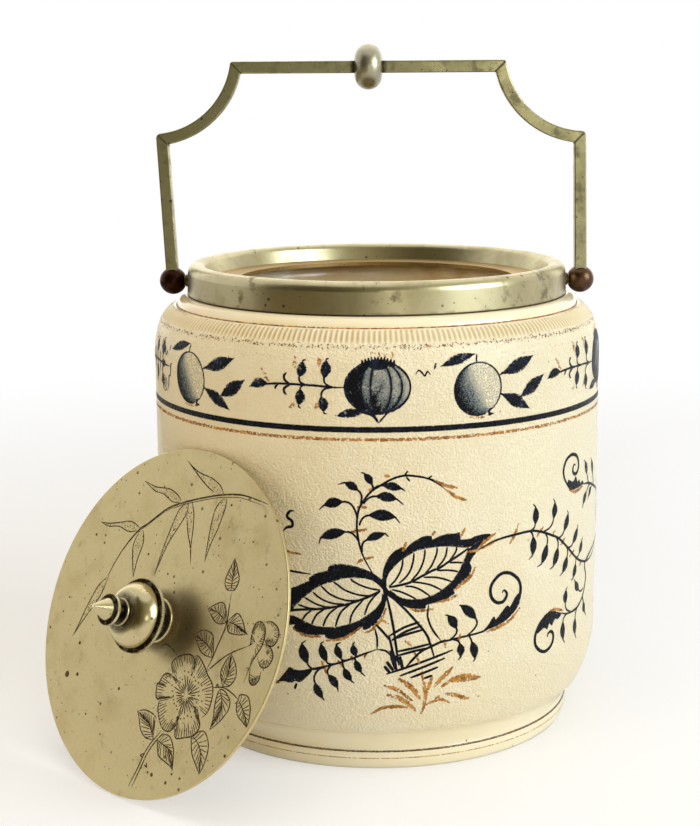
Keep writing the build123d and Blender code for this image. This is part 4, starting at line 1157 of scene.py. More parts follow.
def worn_metal_group():
    """Plated metal after long use, as colour, roughness and height.

    Tarnish clouds the bright plating, fine grain and pits darken it, and a value that each material
    works out for itself darkens it, with dirt and patina in its hollows and with painted shade.
    """
    usual = {"Tarnish": 0.5, "GrimeAndShade": 0.0, "Gloss": 0.25, "Grain": 0.3,
             "Bright": plate_bright, "Dull": plate_dull, "Dark": plate_dark}
    results = {"Color": "NodeSocketColor", "Roughness": "NodeSocketFloat", "Height": "NodeSocketFloat"}
    group, given, out = new_group("worn_metal", usual, results)
    where = own_place(group)
    clouds = times(group, noise(group, where, 85.0, 4.0, 0.62, 0.4), 1.7)
    cover = plus(group, plus(group, clouds, -1.35), given["Tarnish"], clamp=True)
    fine = noise(group, where, 1500.0, 3.0, 0.7)
    grain = times(group, ramp(group, fine, 0.5, 0.78), given["Grain"])
    pits, blots = flecks(group, 620.0, 0.16, 0.16), flecks(group, 210.0, 0.35, 0.11)
    pitted = reckon(group, "MAXIMUM", pits, blots)
    colour = blend(group, cover, given["Bright"], given["Dull"])
    for darkening in (grain, times(group, pitted, 0.7), given["GrimeAndShade"]):
        colour = blend(group, darkening, colour, given["Dark"])
    roughness = plus(group, given["Gloss"], times(group, cover, 0.16))
    roughness = plus(group, roughness, times(group, given["GrimeAndShade"], 0.35))
    roughness = plus(group, roughness, times(group, fine, 0.12), clamp=True)
    height = less(group, times(group, fine, 0.35), pitted)
    feed(group, out, {"Color": colour, "Roughness": roughness, "Height": height})
    return group


worn_metal = worn_metal_group()


def metal_material(name, grime_and_shade=None, depth=0.00005, **values):
    """Worn metal with its own values; a function of (tree, where), when given, masks its dirt, patina and
    painted shade.
    """
    made, tree, shader = new_material(name)
    if grime_and_shade is not None:
        values["GrimeAndShade"] = grime_and_shade(tree, own_place(tree))
    finish = use_group(tree, worn_metal, values)
    feed(tree, shader, {
        "Base Color": finish["Color"],
        "Roughness": finish["Roughness"],
        "Normal": raised(tree, finish["Height"], depth, 0.6),
        "Metallic": 1.0,
    })
    return made


def part_of(tree, vector, axis):
    """X, Y or Z of a vector."""
    return place(tree, "ShaderNodeSeparateXYZ", {0: vector}).outputs[axis]


collar_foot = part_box("rim_collar")[0].z
collar_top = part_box("rim_collar")[1].z


def collar_foot_shade_and_blotches(tree, where):
    """Painted shade in the corner at the collar's foot, thinning upwards and broken by noise, and a few dark
    tarnish blotches.
    """
    height = part_of(tree, where, 2)
    # Painted shade at the collar's foot: a dark line in the corner, and a band that thins upwards.
    line = ramp(tree, height, collar_foot + 0.0003, collar_foot + 0.0008, 0.95, 0.0)
    low = ramp(tree, height, collar_foot, collar_foot + 0.0016, 0.8, 0.0)
    patch = ramp(tree, noise(tree, where, 240.0, 3.0), 0.45, 0.65, 0.1, 1.0)
    blotch = ramp(tree, noise(tree, where, 75.0, 4.0, 0.7), 0.6, 0.7, 0.0, 0.55)
    foot_shade_and_blotch = reckon(tree, "MAXIMUM", line, blotch)
    return reckon(tree, "MAXIMUM", foot_shade_and_blotch, times(tree, low, patch))


mount_plating = metal_material("mount_plating", collar_foot_shade_and_blotches, Tarnish=0.55, Gloss=0.24, Grain=0.12)
ledge_plating = metal_material("ledge_plating", Tarnish=0.95, Gloss=0.3, Bright=shade(196, 166, 112),
                               Dull=shade(150, 120, 70))
finish_nodes(mount_plating, "rim_collar")
finish_nodes(ledge_plating, "lid_seat_ring")

# --- Pivots: bosses, pins and balls ---------------------------------------------------------------
# A headed steel pin passes the collar and its soldered boss and ends in the ball, which turns on
# it.  The balls' plating has gone down to bare copper alloy, brown; the left ball is given a darker copy,
# nearly black, as painted shade, and both are darker underneath as painted shade.

pin_steel = metal_material("pin_steel", Tarnish=0.6, Gloss=0.28, Bright=shade(118, 110, 96),
                           Dull=shade(76, 66, 50), Dark=shade(30, 22, 15))
# The bosses are darker than the collar's plating: painted shade in the gap between collar and ball.
shaded_boss_metal = metal_material("shaded_boss_metal", Tarnish=0.8, Gloss=0.26, Bright=shade(110, 96, 64),
                            Dull=shade(68, 54, 32), Dark=shade(30, 21, 12))
finish_nodes(pin_steel, "pivot_pin_left", "pivot_pin_right")
finish_nodes(shaded_boss_metal, "pivot_boss_left", "pivot_boss_right")


def ball_underside_shade(tree, where):
    """Painted shade: darker towards the ball's under side, broken into blotches by noise."""
    # Painted shade: darker towards the under side of the ball.
    low = ramp(tree, part_of(tree, where, 2), collar_top - 0.0105, collar_top - 0.005, 0.75, 0.1)
    blotch = ramp(tree, noise(tree, where, 420.0, 3.0), 0.35, 0.6, 0.4, 1.0)
    return times(tree, low, blotch)


# The left ball's finish is a darker copy of the right's: painted shade on the side away from the key lamp.
shaded_left_ball = metal_material("copper_ball_left_shaded", ball_underside_shade, Tarnish=0.7, Gloss=0.2,
                           Bright=shade(66, 38, 25), Dull=shade(36, 20, 12), Dark=shade(14, 8, 5))
right_ball = metal_material("copper_ball_right", ball_underside_shade, Tarnish=0.55, Gloss=0.18,
                            Bright=shade(106, 80, 61), Dull=shade(68, 51, 38), Dark=shade(28, 17, 11))
finish_nodes(shaded_left_ball, "pivot_ball_left")
finish_nodes(right_ball, "pivot_ball_right")

# --- Bail: mitred bars and bead -------------------------------------------------------------------
# Square bar, sawn and bent into two uprights, two scrolls and a top bar, mitred and brazed, with a
# turned bead to carry it by.  Braze and dirt have stayed in the mitres and beside the bead.

bail_bars = ("top_bar", "scroll_bar_left", "scroll_bar_right", "upright_bar_left", "upright_bar_right")
upright_corner, top_corner = 189.0, 211.4
upright_reach, upright_lean, top_reach, top_lean = 66.95, 1.61, 42.2, 2.4
mitres = (              # x and z of each corner, and the slope of its saw cut
    (-upright_reach - upright_lean, upright_corner, 45),
    (upright_reach - upright_lean, upright_corner, -45),
    (-top_reach - top_lean, top_corner, 45),
    (top_reach - top_lean, top_corner, -45),
)
bead_low, bead_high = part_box("handle_bead")
bead_middle, bead_half = (bead_low.x + bead_high.x) / 2, (bead_high.x - bead_low.x) / 2
solder_width = 0.0026


def offset_from(tree, where, point):
    """Vector to where from a point given in millimetres."""
    feeds = {0: where, 1: tuple(np.array(point) * MM)}
    return place(tree, "ShaderNodeVectorMath", feeds, operation="SUBTRACT").outputs[0]


def length_of(tree, vector):
    """Length of a vector."""
    return place(tree, "ShaderNodeVectorMath", {0: vector}, operation="LENGTH").outputs["Value"]


def reach_along(tree, vector, direction):
    """How far a vector goes along a direction."""
    feeds = {0: vector, 1: direction}
    return place(tree, "ShaderNodeVectorMath", feeds, operation="DOT_PRODUCT").outputs["Value"]


def mitre_grime(tree, where):
    """A brown seam in each mitre, near its plane and its corner, and black solder beside the bead."""
    total = ramp(tree, noise(tree, where, 300.0, 3.0), 0.5, 0.72, 0.0, 0.35)
    beside = reckon(tree, "ABSOLUTE", less(tree, part_of(tree, where, 0), bead_middle))
    beside = plus(tree, beside, times(tree, noise(tree, where, 900.0, 2.0), 0.0012))
    solder = ramp(tree, beside, bead_half + 0.3 * solder_width, bead_half + solder_width, 0.86, 0.0)
    total = reckon(tree, "MAXIMUM", total, solder)
    for x, z, slope in mitres:
        normal = (math.sin(math.radians(slope)), 0.0, math.cos(math.radians(slope)))
        offset = offset_from(tree, where, (x, 0.0, z))
        off_plane = reckon(tree, "ABSOLUTE", reach_along(tree, offset, normal))
        thin = ramp(tree, off_plane, 0.0, 0.0006, 0.75, 0.0)
        close = ramp(tree, length_of(tree, offset), 0.003, 0.0042, 1.0, 0.0)
        total = reckon(tree, "MAXIMUM", total, times(tree, thin, close))
    return total


bail_plating = metal_material("bail_plating", mitre_grime, 0.000018, Tarnish=0.6, Gloss=0.22, Grain=0.08,
                              Bright=shade(170, 164, 126), Dull=shade(114, 106, 74),
                              Dark=shade(38, 28, 14))
finish_nodes(bail_plating, *bail_bars)
bead_plating = metal_material("bead_plating", Tarnish=0.5, Gloss=0.3, Grain=0.25,
                              Bright=shade(176, 170, 146), Dull=shade(124, 116, 88))
finish_nodes(bead_plating, "handle_bead")

# --- Lid ------------------------------------------------------------------------------------------
# A flat spun disc with a rounded edge, plated and engraved by hand.  It leans against the jar, so
# its drawing has its own two directions: x across, level, and y up the slope of its face.

lid_normal = Vector(next(j for j in frame["joints"] if j["name"] == "lid_lift")["axis"])
lid_across = Vector((0, 0, 1)).cross(lid_normal).normalized()
lid_upward = lid_normal.cross(lid_across)
plate_thickness = 1.2
plate_low, plate_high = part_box("lid_plate")
lid_centre = (plate_low + plate_high) / 2 / MM + lid_normal * plate_thickness / 2


def on_lid(x, y, lift):
    """Point of the lid's face: across x, up its slope y, standing off it by the lift."""
    grid = x[..., None] * np.array(lid_across) + y[..., None] * np.array(lid_upward)
    return np.array(lid_centre) + grid + lift * np.array(lid_normal)


def knob_foot_shade_and_clouds(tree, where):
    """Painted shade, darker and duller, round the foot of the knob, and faint clouds of tarnish over the
    plate.
    """
    away = length_of(tree, offset_from(tree, where, lid_centre))
    # Painted shade round the foot of the knob, where it stands on the lid.
    knob_foot_shade = ramp(tree, away, 0.0072, 0.0105, 0.6, 0.0)
    cloud = ramp(tree, noise(tree, where, 230.0, 5.0, 0.7), 0.56, 0.74, 0.0, 0.2)
    return reckon(tree, "MAXIMUM", knob_foot_shade, cloud)


lid_plating = metal_material("lid_plating", knob_foot_shade_and_clouds, 0.00004, Tarnish=0.5, Gloss=0.32, Grain=0.16,
                             Bright=shade(208, 190, 140), Dull=shade(190, 168, 112))
finish_nodes(lid_plating, "lid_plate")


def engraving_material():
    """Cut line: dirt along its middle, a V-shaped groove from how far across it a point lies."""
    made, tree, shader = new_material("engraved_line")
    where, across = own_place(tree), attribute(tree, "across")
    worn = ramp(tree, noise(tree, where, 800.0, 3.0, 0.6), 0.42, 0.66)
    broken = ramp(tree, noise(tree, where, 1300.0, 2.0), 0.3, 0.42, 0.25, 1.0)
    edge = ramp(tree, across, 0.55, 1.0, 1.0, 0.0)
    feed(tree, shader, {
        "Base Color": blend(tree, worn, shade(46, 30, 14), shade(108, 82, 44)),
        "Alpha": times(tree, times(tree, edge, attribute(tree, "tone")), broken),
        "Normal": raised(tree, across, 0.00022, 0.8),
        "Roughness": ramp(tree, worn, 0.0, 1.0, 0.5, 0.36),
        "Metallic": 0.8,
    })
    return made


def cut(points, width=0.5, tone=1.0):
    """Graver's stroke: thin where the tool goes in and comes out."""
    return ribbon(smooth_line(points), width, tone, taper=0.18, least=0.3)


def bamboo_leaf(upper, lower):
    """Two long edges that meet at the tip, with the ground between them stippled."""
    share = np.linspace(0, 1, 24)
    sides = [np.stack([np.interp(share, np.linspace(0, 1, len(rim)), rim[:, axis])
                       for axis in (0, 1)], axis=1) for rim in (smooth_line(upper), smooth_line(lower))]
    part = np.linspace(0, 1, 5)[None, :, None]
    grid = sides[0][:, None] * (1 - part) + sides[1][:, None] * part
    stipple = (grid, np.zeros(grid.shape[:2]), np.full(grid.shape[:2], 0.16))
    return [cut(upper, 0.44), cut(lower, 0.44)], [stipple]


def hatched_leaf(tip, upper, lower, midrib, lines=9):
    """Rose leaf: two edges, a midrib, and hatching from the midrib slantwise out to both edges."""
    rib = smooth_line(midrib)
    strokes = [cut(upper, 0.48), cut(lower, 0.48), cut([*midrib, tip], 0.44)]
    for edge in (smooth_line(upper), smooth_line(lower)):
        for step in range(lines):
            share = (step + 0.6) / lines
            foot = rib[int(share * 0.86 * (len(rib) - 1))]
            head = edge[int(min(share * 0.9 + 0.12, 1) * (len(edge) - 1))]
            strokes.append(cut([foot, foot * 0.45 + head * 0.55, foot * 0.1 + head * 0.9], 0.34, 0.95))
    return strokes


bamboo_stem = [(32, 41.5), (27, 42), (20, 42.3), (12, 41), (5, 39), (-1, 37), (-4, 35.8), (-10, 33),
               (-17, 27), (-20, 24.7), (-23.5, 20), (-26.5, 14.5), (-28.7, 8)]
bamboo_leaves = [
    ([(12.5, 41.3), (10, 43.5), (5.5, 45.1), (0, 45.8), (-4, 47), (-7, 48.5)],
     [(8.5, 41.2), (5, 42.2), (0, 44.6), (-4, 46.8), (-7, 48.5)]),
    ([(-5, 36.3), (-8, 38), (-12, 38.9), (-18, 38.5), (-24, 39.4)],
     [(-5, 35.6), (-8.5, 35.3), (-11, 36), (-14, 37), (-18, 37.2), (-24, 39.4)]),
    ([(-20, 25), (-25, 26.2), (-30, 25), (-35, 23.8), (-39.3, 23.5)],
     [(-20.5, 24), (-25, 23), (-30, 23.7), (-35, 22.9), (-39.3, 23.5)]),
    ([(12.8, 40), (10.9, 37), (10.6, 33), (11.3, 27), (12.3, 20.5)],
     [(14.3, 40.3), (14.7, 37), (14, 31), (12.8, 26), (12.3, 20.5)]),
    ([(-1, 32.5), (2, 27), (4.5, 23.5), (6.7, 18.7)],
     [(-0.3, 37), (2, 33.5), (3.5, 29), (4.6, 24), (6.7, 18.7)]),
    ([(-3, 35.8), (-5, 33), (-6.3, 27), (-7.3, 20), (-7.8, 12.3)],
     [(-1.5, 36.3), (-1.2, 33), (-3, 28.5), (-5.5, 23), (-7, 17), (-7.8, 12.3)]),
    ([(-20, 24), (-21, 19.5), (-19.5, 15), (-17, 10)], [(-18.3, 24.5), (-16.8, 21), (-17.3, 15), (-17, 10)]),
    ([(-29, 7.5), (-32, 4), (-34.5, -3), (-36, -9), (-37.3, -13.2)],
     [(-28.3, 8), (-29.5, 2), (-32, -3), (-34.8, -8), (-37.3, -13.2)]),
]
rose_centre = (20, -18)
rose_petals = [
    [(12, -13.5), (10.5, -10.5), (13, -7.8), (17, -6.5), (19.5, -7.5), (21, -11)],
    [(19, -6.5), (21, -6.2), (24.5, -8.5), (26.5, -10.3), (29.5, -12.5), (30.8, -16), (30.6, -20),
     (29, -22.3)],
    [(16, -15), (11, -13.8), (8.5, -14.5), (7.5, -17), (6.7, -18), (7.5, -21), (8.7, -22), (10, -21),
     (14.5, -20.3)],
    [(9.8, -21), (9.7, -24), (11.5, -27), (14, -29.3), (17, -29.5), (19, -27.5), (19.8, -24.5)],
    [(19, -28), (20.7, -30.5), (24.5, -29.3), (27.5, -28), (29, -25), (27.5, -22.5), (26, -20)],
]
rose_stems = [
    [(14, -30), (11, -34.5), (9.5, -38), (8.3, -43), (6.5, -48.8)],
    [(15.2, -30), (12.2, -34.5), (10.6, -38), (9.4, -43), (8.0, -48.6)],
    [(30, -13.2), (34, -12.2), (38, -12.8), (41.5, -14)],
    [(25.3, -9.5), (26.5, -5.5), (27.3, -1), (28.3, 3.5), (28.2, 7), (27.6, 10), (27, 14)],
    [(25.5, -9.8), (29, -6), (33, -2.5), (39, 1)],
    [(4, -7), (5.5, -6), (7.5, -6.2), (11.5, -7.7)],
    [(9.6, -38), (8.0, -39), (9.3, -39.4)], [(11.3, -40.3), (11.9, -41.4), (10.6, -41.2)],
    [(31, -12.9), (31.5, -11.9), (32.2, -12.6)],
]
rose_leaves = [
    ((1.5, -27.3), [(10.3, -27.5), (9, -26.6), (5, -26.2), (1.5, -27.3)],
     [(10.5, -33.5), (8, -33.7), (5, -32), (3, -29), (1.5, -27.3)], [(11.5, -33.5), (9, -30.5), (6, -28.5)]),
    ((23, -39.7), [(13, -33), (15, -31), (18, -30.8), (20.5, -33), (21.5, -35), (23, -39.7)],
     [(13, -33), (13.8, -34), (15.5, -37), (19, -38), (22, -38.7), (23, -39.7)],
     [(13, -33), (17, -33.8), (20.5, -35)]),
    ((34, -37.5), [(27, -28), (29, -26.5), (31.5, -25.8), (34, -28), (35, -31), (34.7, -35), (34, -37.5)],
     [(27, -28), (27, -29), (29, -33), (32, -35.7), (34, -37.5)],
     [(27, -28), (30, -29.5), (32.5, -32), (33.5, -36)]),
    ((47.4, -20.4), [(41.3, -14), (41.5, -12.5), (44.5, -12.2), (46.5, -14.5), (47.4, -17.6), (47.4, -20.4)],
     [(41.3, -14), (41, -15), (42.5, -18), (45.4, -19.4), (47.4, -20.4)],
     [(41.3, -14), (44.4, -16.4), (47, -19.6)]),
    ((33.3, -24.7), [(33, -12.8), (35, -13), (38, -15), (38.5, -17.5), (37, -20.5), (35.5, -22.5),
                     (33.3, -24.7)],
     [(33, -12.8), (32.5, -14.5), (32.7, -18), (33.5, -21.5), (33.3, -24.7)],
     [(33, -12.8), (35.2, -16.5), (35, -20.5)]),
    ((33.6, -2.4), [(33.7, -12), (31.5, -8.5), (32, -5.5), (33.6, -2.4)],
     [(33.7, -12), (36.5, -11), (37.8, -8), (36.5, -5), (33.6, -2.4)],
     [(33.7, -12), (34.5, -8.5), (34.2, -5)]),
    ((24.5, 24), [(26.5, 14.7), (24.5, 14.8), (23, 17), (23.5, 20), (24.5, 24)],
     [(26.5, 14.7), (28, 15.5), (28.5, 18.5), (26.5, 21.5), (24.5, 24)],
     [(26.5, 14.7), (25.8, 18), (25.3, 21)]),
    ((19, 7.8), [(28, 5.5), (26.5, 9.2), (24, 10.7), (19, 7.8)],
     [(28, 5.5), (26, 4.7), (23.5, 4.9), (19, 7.8)], [(28, 5.5), (24.5, 7.3), (21.5, 7.8)]),
    ((37.8, 4.3), [(28.5, 6), (31.5, 9), (34.5, 7.5), (36.5, 5), (37.8, 4.3)],
     [(28.5, 6), (30, 3.3), (34, 3.3), (37.8, 4.3)], [(28.5, 6), (32, 5.8), (35, 4.8)]),
    ((16.5, -0.5), [(26.5, -4), (25.5, -2), (24, 1), (20, 1.5), (16.5, -0.5)],
     [(26.5, -4), (26, -5.2), (22, -5), (19, -3), (16.5, -0.5)], [(26.5, -4), (22.5, -2), (19, -1.2)]),
]
rose_buds = [
    [(39, 1), (40, 2), (39.5, 5), (40, 8), (42, 8.8), (44, 7.5), (44.8, 5), (44.5, 2), (42.5, -3),
     (41.5, -9)],
    [(43, 9), (46, 9.7), (49, 8.5), (50, 6), (49, 3.5), (46.5, 3.2), (45, 4.5)],
    [(45, 3), (48, 2.8), (50, 0.5), (49, -2.5), (46.5, -3.2), (44, -1)],
    [(42.5, -4.5), (43.5, -8), (45.5, -8.7), (47, -7), (47, -4.5)],
]
lid_pits = (
    (-34.8, -24.8, 1.0), (-30, -23.7, 0.6), (-33, -14.4, 0.55), (-9.3, -23.2, 0.5), (14.9, -43, 0.6),
    (13, -42.8, 0.4), (42, -30, 0.5), (21.5, -43.5, 0.5), (23, -40.5, 0.4), (26.7, -40.8, 0.4),
    (-13, 18, 0.4), (17, 38.7, 0.4), (-25, 35.3, 0.4), (-39.7, 19.3, 0.45), (51, 3.5, 0.4),
    (-2, 14, 0.35), (2, 12, 0.3), (-21, -34, 0.35), (-12, -38, 0.3), (-44, -2, 0.35), (30, 30, 0.3),
)

engraved_lines, engraved_stipple = [cut(bamboo_stem, 0.7)], []
engraved_lines.append(cut([(x - 0.5, y - 0.9) for x, y in bamboo_stem], 0.35, 0.7))
for upper, lower in bamboo_leaves:
    edges, ground = bamboo_leaf(upper, lower)
    engraved_lines += edges
    engraved_stipple += ground
engraved_lines += [cut(line, 0.52) for line in rose_petals + rose_stems + rose_buds]
for leaf in rose_leaves:
    engraved_lines += hatched_leaf(*leaf)
graver = np.random.default_rng(7)
for turn in np.radians(np.arange(0, 360, 13)):
    out = np.array([math.cos(turn), math.sin(turn)])
    near, far = graver.uniform(0.7, 2.4), graver.uniform(3.6, 6.2)
    stamen = [rose_centre + reach * out for reach in (near, (near + far) / 2, far)]
    engraved_lines.append(cut(stamen, 0.4))
    engraved_stipple.append(disc(rose_centre + (far + 1.1) * out, 0.3, 0.3, even(1.2), 3, 8))


def rim_hatching(outline, centre, shortest, longest):
    """Fine cuts from every other point of an outline towards a centre, of uneven length."""
    strokes = []
    for foot in smooth_line(outline)[3:-3:2]:
        inward = (np.array(centre) - foot) / np.hypot(*(np.array(centre) - foot))
        reach = graver.uniform(shortest, longest)
        strokes.append(cut([foot, foot + 0.5 * reach * inward, foot + reach * inward], 0.31, 0.9))
    return strokes


for outline in rose_petals:
    engraved_lines += rim_hatching(outline, rose_centre, 1.8, 4.4)
for bud in rose_buds:
    engraved_lines += rim_hatching(bud, np.mean(bud, axis=0), 0.8, 2.4)
engraved_stipple += [disc((x, y), size, size, even(1.35), 3, 12) for x, y, size in lid_pits]


def stippling_material():
    """Punched dots and corrosion pits: dark, open where the tone is thin."""
    made, tree, shader = new_material("lid_punching")
    grains = noise(tree, own_place(tree), 2200.0, 2.0, 0.5)
    open_share = less(tree, 1.28, attribute(tree, "tone"))
    held = less(tree, times(tree, grains, 2.0), open_share)
    feed(tree, shader, {
        "Base Color": blend(tree, grains, shade(50, 32, 15), shade(122, 94, 52)),
        "Alpha": times(tree, held, 4.0, clamp=True),
        "Normal": raised(tree, grains, 0.0002, 0.7),
        "Roughness": ramp(tree, grains, 0.3, 0.7, 0.55, 0.4),
        "Metallic": 0.7,
    })
    return made


cut_lift, punch_lift, cut_step = 0.03, 0.015, 0.0001
engraving = strokes_piece("lid_engraving", engraved_lines, cut_lift, on_lid, "lid", cut_step)
engraving.data.materials.append(engraving_material())
stippling = strokes_piece("lid_stippling", engraved_stipple, punch_lift, on_lid, "lid", cut_step)
stippling.data.materials.append(stippling_material())

# --- Knob -----------------------------------------------------------------------------------------
# Cast and turned stages on one threaded stud: ring, waist, milled flange, dome, neck, milled ring
# and a tip like a bud.  Rubbing keeps the dome and edges bright, the hollows are black with polish,
# and the milled edges are lighter still as painted sheen.

knob_grime_stages = (
    (0.0, 0.3), (0.045, 0.12), (0.066, 0.25), (0.074, 0.95), (0.11, 0.7), (0.2, 0.8), (0.285, 0.95),
    (0.3, 0.9), (0.306, 0.12), (0.338, 0.1), (0.344, 0.95), (0.36, 0.95), (0.372, 0.1), (0.54, 0.06),
    (0.563, 0.7), (0.575, 0.3), (0.6, 0.3), (0.609, 0.95), (0.717, 0.98), (0.724, 0.2), (0.752, 0.15),
    (0.758, 0.95), (0.776, 0.9), (0.79, 0.12), (1.0, 0.08),
)
knob_height = 27.0


def knob_grime(tree, where):
    """Grime by height over the lid's face, read off a ramp of stages, and broken by noise."""
    up = reach_along(tree, offset_from(tree, where, lid_centre), tuple(lid_normal))
    scale = place(tree, "ShaderNodeValToRGB", {0: reckon(tree, "DIVIDE", up, knob_height * MM)})
    stops = scale.color_ramp.elements
    stops[1].position = 1.0
    for position, _ in knob_grime_stages[1:-1]:
        stops.new(position)
    for stop, (position, level) in zip(stops, knob_grime_stages):
        stop.position, stop.color = position, (level, level, level, 1)
    patch = ramp(tree, noise(tree, where, 520.0, 3.0), 0.34, 0.62, 0.85, 1.15)
    return times(tree, scale.outputs[0], patch, clamp=True)


knob_plating = metal_material("knob_plating", knob_grime, 0.00003, Tarnish=0.45, Gloss=0.14, Grain=0.1,
                              Bright=shade(206, 192, 148), Dull=shade(144, 122, 76),
                              Dark=shade(30, 22, 12))
knob_nodes = ("finial_base_ring", "finial_waist", "finial_dome", "finial_neck_ring", "finial_tip")
finish_nodes(knob_plating, *knob_nodes)
# A brighter copy of the knob's plating: edges rubbed bright, and painted sheen for the light the milling
# catches.
milled_plating_with_sheen = metal_material("milled_plating_with_sheen", knob_grime, 0.00003, Tarnish=0.35, Gloss=0.42, Grain=0.1,
                                Bright=shade(240, 228, 190), Dull=shade(196, 180, 136))
finish_nodes(milled_plating_with_sheen, "finial_milled_flange", "finial_milled_ring")

# --- Knob's fixing --------------------------------------------------------------------------------
# Under the lid a plain washer and a square nut draw the stud tight; both are steel gone brown.

fixing_steel = metal_material("fixing_steel", Tarnish=0.8, Gloss=0.34, Bright=shade(150, 142, 128),
                              Dull=shade(98, 82, 62), Dark=shade(60, 34, 18))
finish_nodes(fixing_steel, "finial_stud", "finial_washer", "finial_nut")

# --- Setting --------------------------------------------------------------------------------------
# A pale floor and a white surround, a large soft lamp from the right and weaker ones elsewhere.  A
# room round the jar, dim at the left, with windows, a table and a bright wall behind, shows only in
# polished metal.

floor_half, floor_drop = 3.0, 0.0001


def sheet(name, points, faces, material):
    """Surface of the setting, its points in metres."""
    mesh = bpy.data.meshes.new(name)
    mesh.from_pydata(np.asarray(points).tolist(), [], np.asarray(faces).tolist())
    mesh.materials.append(material)
    thing = bpy.data.objects.new(name, mesh)
    bpy.context.scene.collection.objects.link(thing)
    return thing


def whitened(tree, shader, white, share):
    """Mixes a share of plain white light into what camera, mirror and glass rays see."""
    path = place(tree, "ShaderNodeLightPath").outputs
    seen = plus(tree, path["Is Camera Ray"], path["Is Glossy Ray"])
    seen = plus(tree, seen, path["Is Transmission Ray"], clamp=True)
    feeds = {0: times(tree, seen, share), 1: shader.outputs[0], 2: white.outputs[0]}
    return place(tree, "ShaderNodeMixShader", feeds).outputs[0]


def floor_material():
    """Pale paint with white glow mixed in, more of it far from the jar and, as painted light, on its lit
    side; see-through from below.
    """
    made = bpy.data.materials.new("pale_floor")
    tree = bare_tree(made)
    where = own_place(tree)
    paint = place(tree, "ShaderNodeBsdfDiffuse", {"Color": shade(250, 249, 247)})
    glow = place(tree, "ShaderNodeEmission", {"Color": (1, 1, 1, 1), "Strength": 1.0})
    far_off = ramp(tree, length_of(tree, where), 0.12, 0.7, 0.42, 1.0)
    # Painted light: more white glow on the right of the jar, the lit side.
    painted_light_side = ramp(tree, part_of(tree, where, 0), 0.0, 0.2, 0.3, 0.86)
    upper_side = whitened(tree, paint, glow, reckon(tree, "MAXIMUM", far_off, painted_light_side))
    from_below = place(tree, "ShaderNodeNewGeometry").outputs["Backfacing"]
    clear = place(tree, "ShaderNodeBsdfTransparent").outputs[0]
    both_sides = place(tree, "ShaderNodeMixShader", {0: from_below, 1: upper_side, 2: clear})
    place(tree, "ShaderNodeOutputMaterial", {0: both_sides.outputs[0]})
    return made


floor_corners = [(x * floor_half, y * floor_half, -floor_drop)
                 for x, y in ((-1, -1), (1, -1), (1, 1), (-1, 1))]
floor = sheet("floor", floor_corners, [(0, 1, 2, 3)], floor_material())

surround = bpy.data.worlds.new("white_surround")
bpy.context.scene.world = surround
sky = bare_tree(surround)
ambient = place(sky, "ShaderNodeBackground", {"Color": (1.0, 0.87, 0.66, 1), "Strength": 0.36})
white_sky = place(sky, "ShaderNodeBackground", {"Color": (1, 1, 1, 1), "Strength": 1.0})
place(sky, "ShaderNodeOutputWorld", {0: whitened(sky, ambient, white_sky, 1.0)})

jar_middle = Vector((0, 0, 0.09))


def softbox(name, centre, width, height, power, tint, mirrored=True):
    """Rectangular lamp that faces the jar; polished metal shows it only where it is mirrored."""
    light = bpy.data.lights.new(name, "AREA")
    light.shape, light.size, light.size_y = "RECTANGLE", width, height
    light.energy, light.color = power, tint
    lamp = bpy.data.objects.new(name, light)
    lamp.location = centre
    lamp.rotation_euler = (jar_middle - Vector(centre)).to_track_quat("-Z", "Y").to_euler()
    lamp.visible_glossy = mirrored
    bpy.context.scene.collection.objects.link(lamp)


softbox("key_light", (1.05, -0.6, 0.56), 0.8, 0.8, 12.0, (0.80, 0.91, 1.04))
softbox("fill_light", (-0.9, -0.8, 0.5), 0.6, 0.6, 3.2, (1.0, 0.80, 0.54), mirrored=False)
softbox("front_light", (0.1, -1.0, 0.75), 0.4, 0.4, 1.1, (1.0, 0.87, 0.64), mirrored=False)
softbox("top_light", (0.0, -0.1, 1.3), 0.9, 0.9, 6.0, (1.0, 0.98, 0.94), mirrored=False)

room_radius, room_rows, room_columns = 1.8, 24, 49
room_dim, room_middle, room_bright = shade(80, 71, 47), shade(176, 170, 138), shade(255, 254, 240)


def reflected(name, points, faces, colour, strength=1.0):
    """Glowing surface that only mirror rays see; colour(tree, where) gives its light."""
    made, tree, light = new_material(name, "ShaderNodeEmission")
    feed(tree, light, {"Color": colour(tree, own_place(tree)), "Strength": strength})
    thing = sheet(name, points, faces, made)
    for rays in ("camera", "diffuse", "shadow", "transmission"):
        setattr(thing, "visible_" + rays, False)


def table_light(tree, where):
    """Olive before the jar, brown beside it."""
    beside = ramp(tree, part_of(tree, where, 1), -0.75, -0.25)
    return blend(tree, beside, shade(160, 146, 108), shade(146, 130, 88))


def room_light(tree, where):
    """Dim brown at the left, lighter at the right, with an upright window between 35 and 55 degrees."""
    across = reckon(tree, "DIVIDE", part_of(tree, where, 0), room_radius)
    wall = blend(tree, ramp(tree, across, -0.5, 0.4), room_dim, room_middle)
    window = times(tree, ramp(tree, across, 0.48, 0.64), ramp(tree, across, 0.76, 0.9, 1.0, 0.0))
    return blend(tree, window, wall, room_bright)


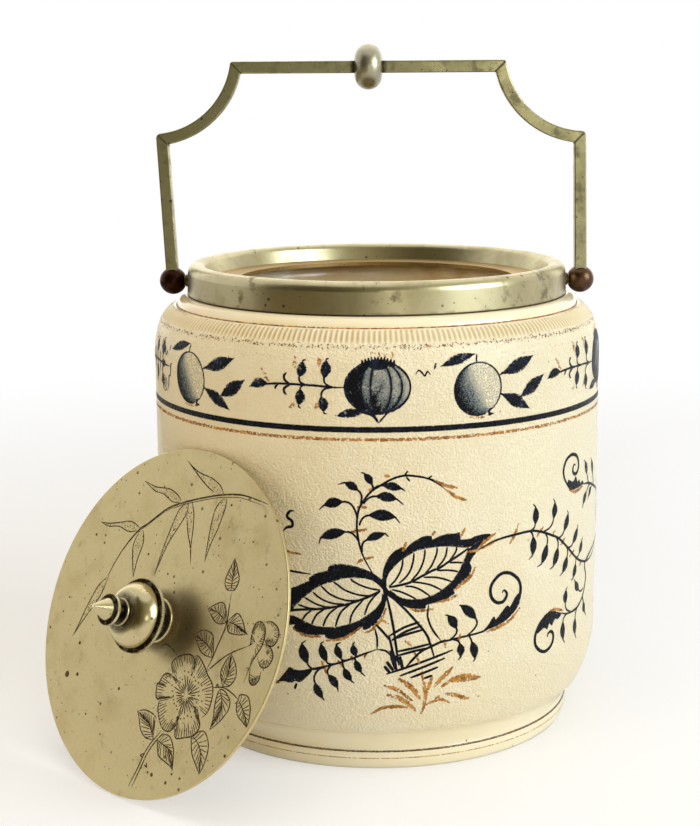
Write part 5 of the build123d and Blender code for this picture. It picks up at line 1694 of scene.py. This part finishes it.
def shell(turns, lifts):
    """Part of a sphere round the jar: room radius times (sin a cos b, -cos a cos b, sin b)."""
    turn, lift = np.meshgrid(np.radians(np.linspace(*turns, room_columns)),
                             np.radians(np.linspace(*lifts, room_rows)), indexing="ij")
    points = room_radius * np.stack(
        [np.sin(turn) * np.cos(lift), -np.cos(turn) * np.cos(lift), np.sin(lift)], axis=2)
    corner = np.arange(room_columns * room_rows).reshape(room_columns, room_rows)
    faces = np.stack([corner[:-1, :-1], corner[1:, :-1], corner[1:, 1:], corner[:-1, 1:]], axis=2)
    return points.reshape(-1, 3), faces.reshape(-1, 4)


wall_white, window_white = shade(255, 252, 244), shade(255, 252, 235)
reflected("room", *shell((-76, 100), (-15, 62)), room_light)
reflected("bright_wall", *shell((132, 225), (2, 82)), lambda tree, where: wall_white, 1.6)
window_left, window_right, window_foot, window_head, window_away = 0.07, 0.24, 0.165, 0.3, -0.75
window_corners = [
    (window_left, window_away, window_foot), (window_right, window_away, window_foot),
    (window_right, window_away, window_head), (window_left, window_away, window_head),
]
reflected("window_strip", window_corners, [(0, 1, 2, 3)], lambda tree, where: window_white, 3.4)
table_height = 0.002
table_outline = ((-1.5, -1.3), (-0.04, -1.3), (-0.04, -0.45), (-0.3, -0.2), (-0.3, 0.9), (-1.5, 0.9))
table_corners = [(x, y, table_height) for x, y in table_outline]
reflected("dark_table", table_corners, [range(len(table_corners))], table_light)

# --- Camera ---------------------------------------------------------------------------------------
# Slightly above the jar and square on, close enough for the mouth to open towards the viewer.

camera_place = Vector((0, -0.56655, 0.20992))
pitch, yaw, roll = 0.1934, -0.0157, -0.0069
ahead = Vector((math.sin(yaw) * math.cos(pitch), math.cos(yaw) * math.cos(pitch), -math.sin(pitch)))
level_right = Vector((math.cos(yaw), -math.sin(yaw), 0))
level_up = level_right.cross(ahead)
right = math.cos(roll) * level_right + math.sin(roll) * level_up
upward = -math.sin(roll) * level_right + math.cos(roll) * level_up
camera_data = bpy.data.cameras.new("camera")
camera_data.sensor_fit, camera_data.sensor_height, camera_data.lens = "VERTICAL", 36.0, 75.96
camera_data.clip_start = 0.01
camera = bpy.data.objects.new("camera", camera_data)
camera.matrix_world = Matrix.Translation(camera_place) @ Matrix(
    (right, upward, -ahead)).transposed().to_4x4()
bpy.context.scene.collection.objects.link(camera)
bpy.context.scene.camera = camera
bpy.context.scene.view_settings.view_transform = "Standard"
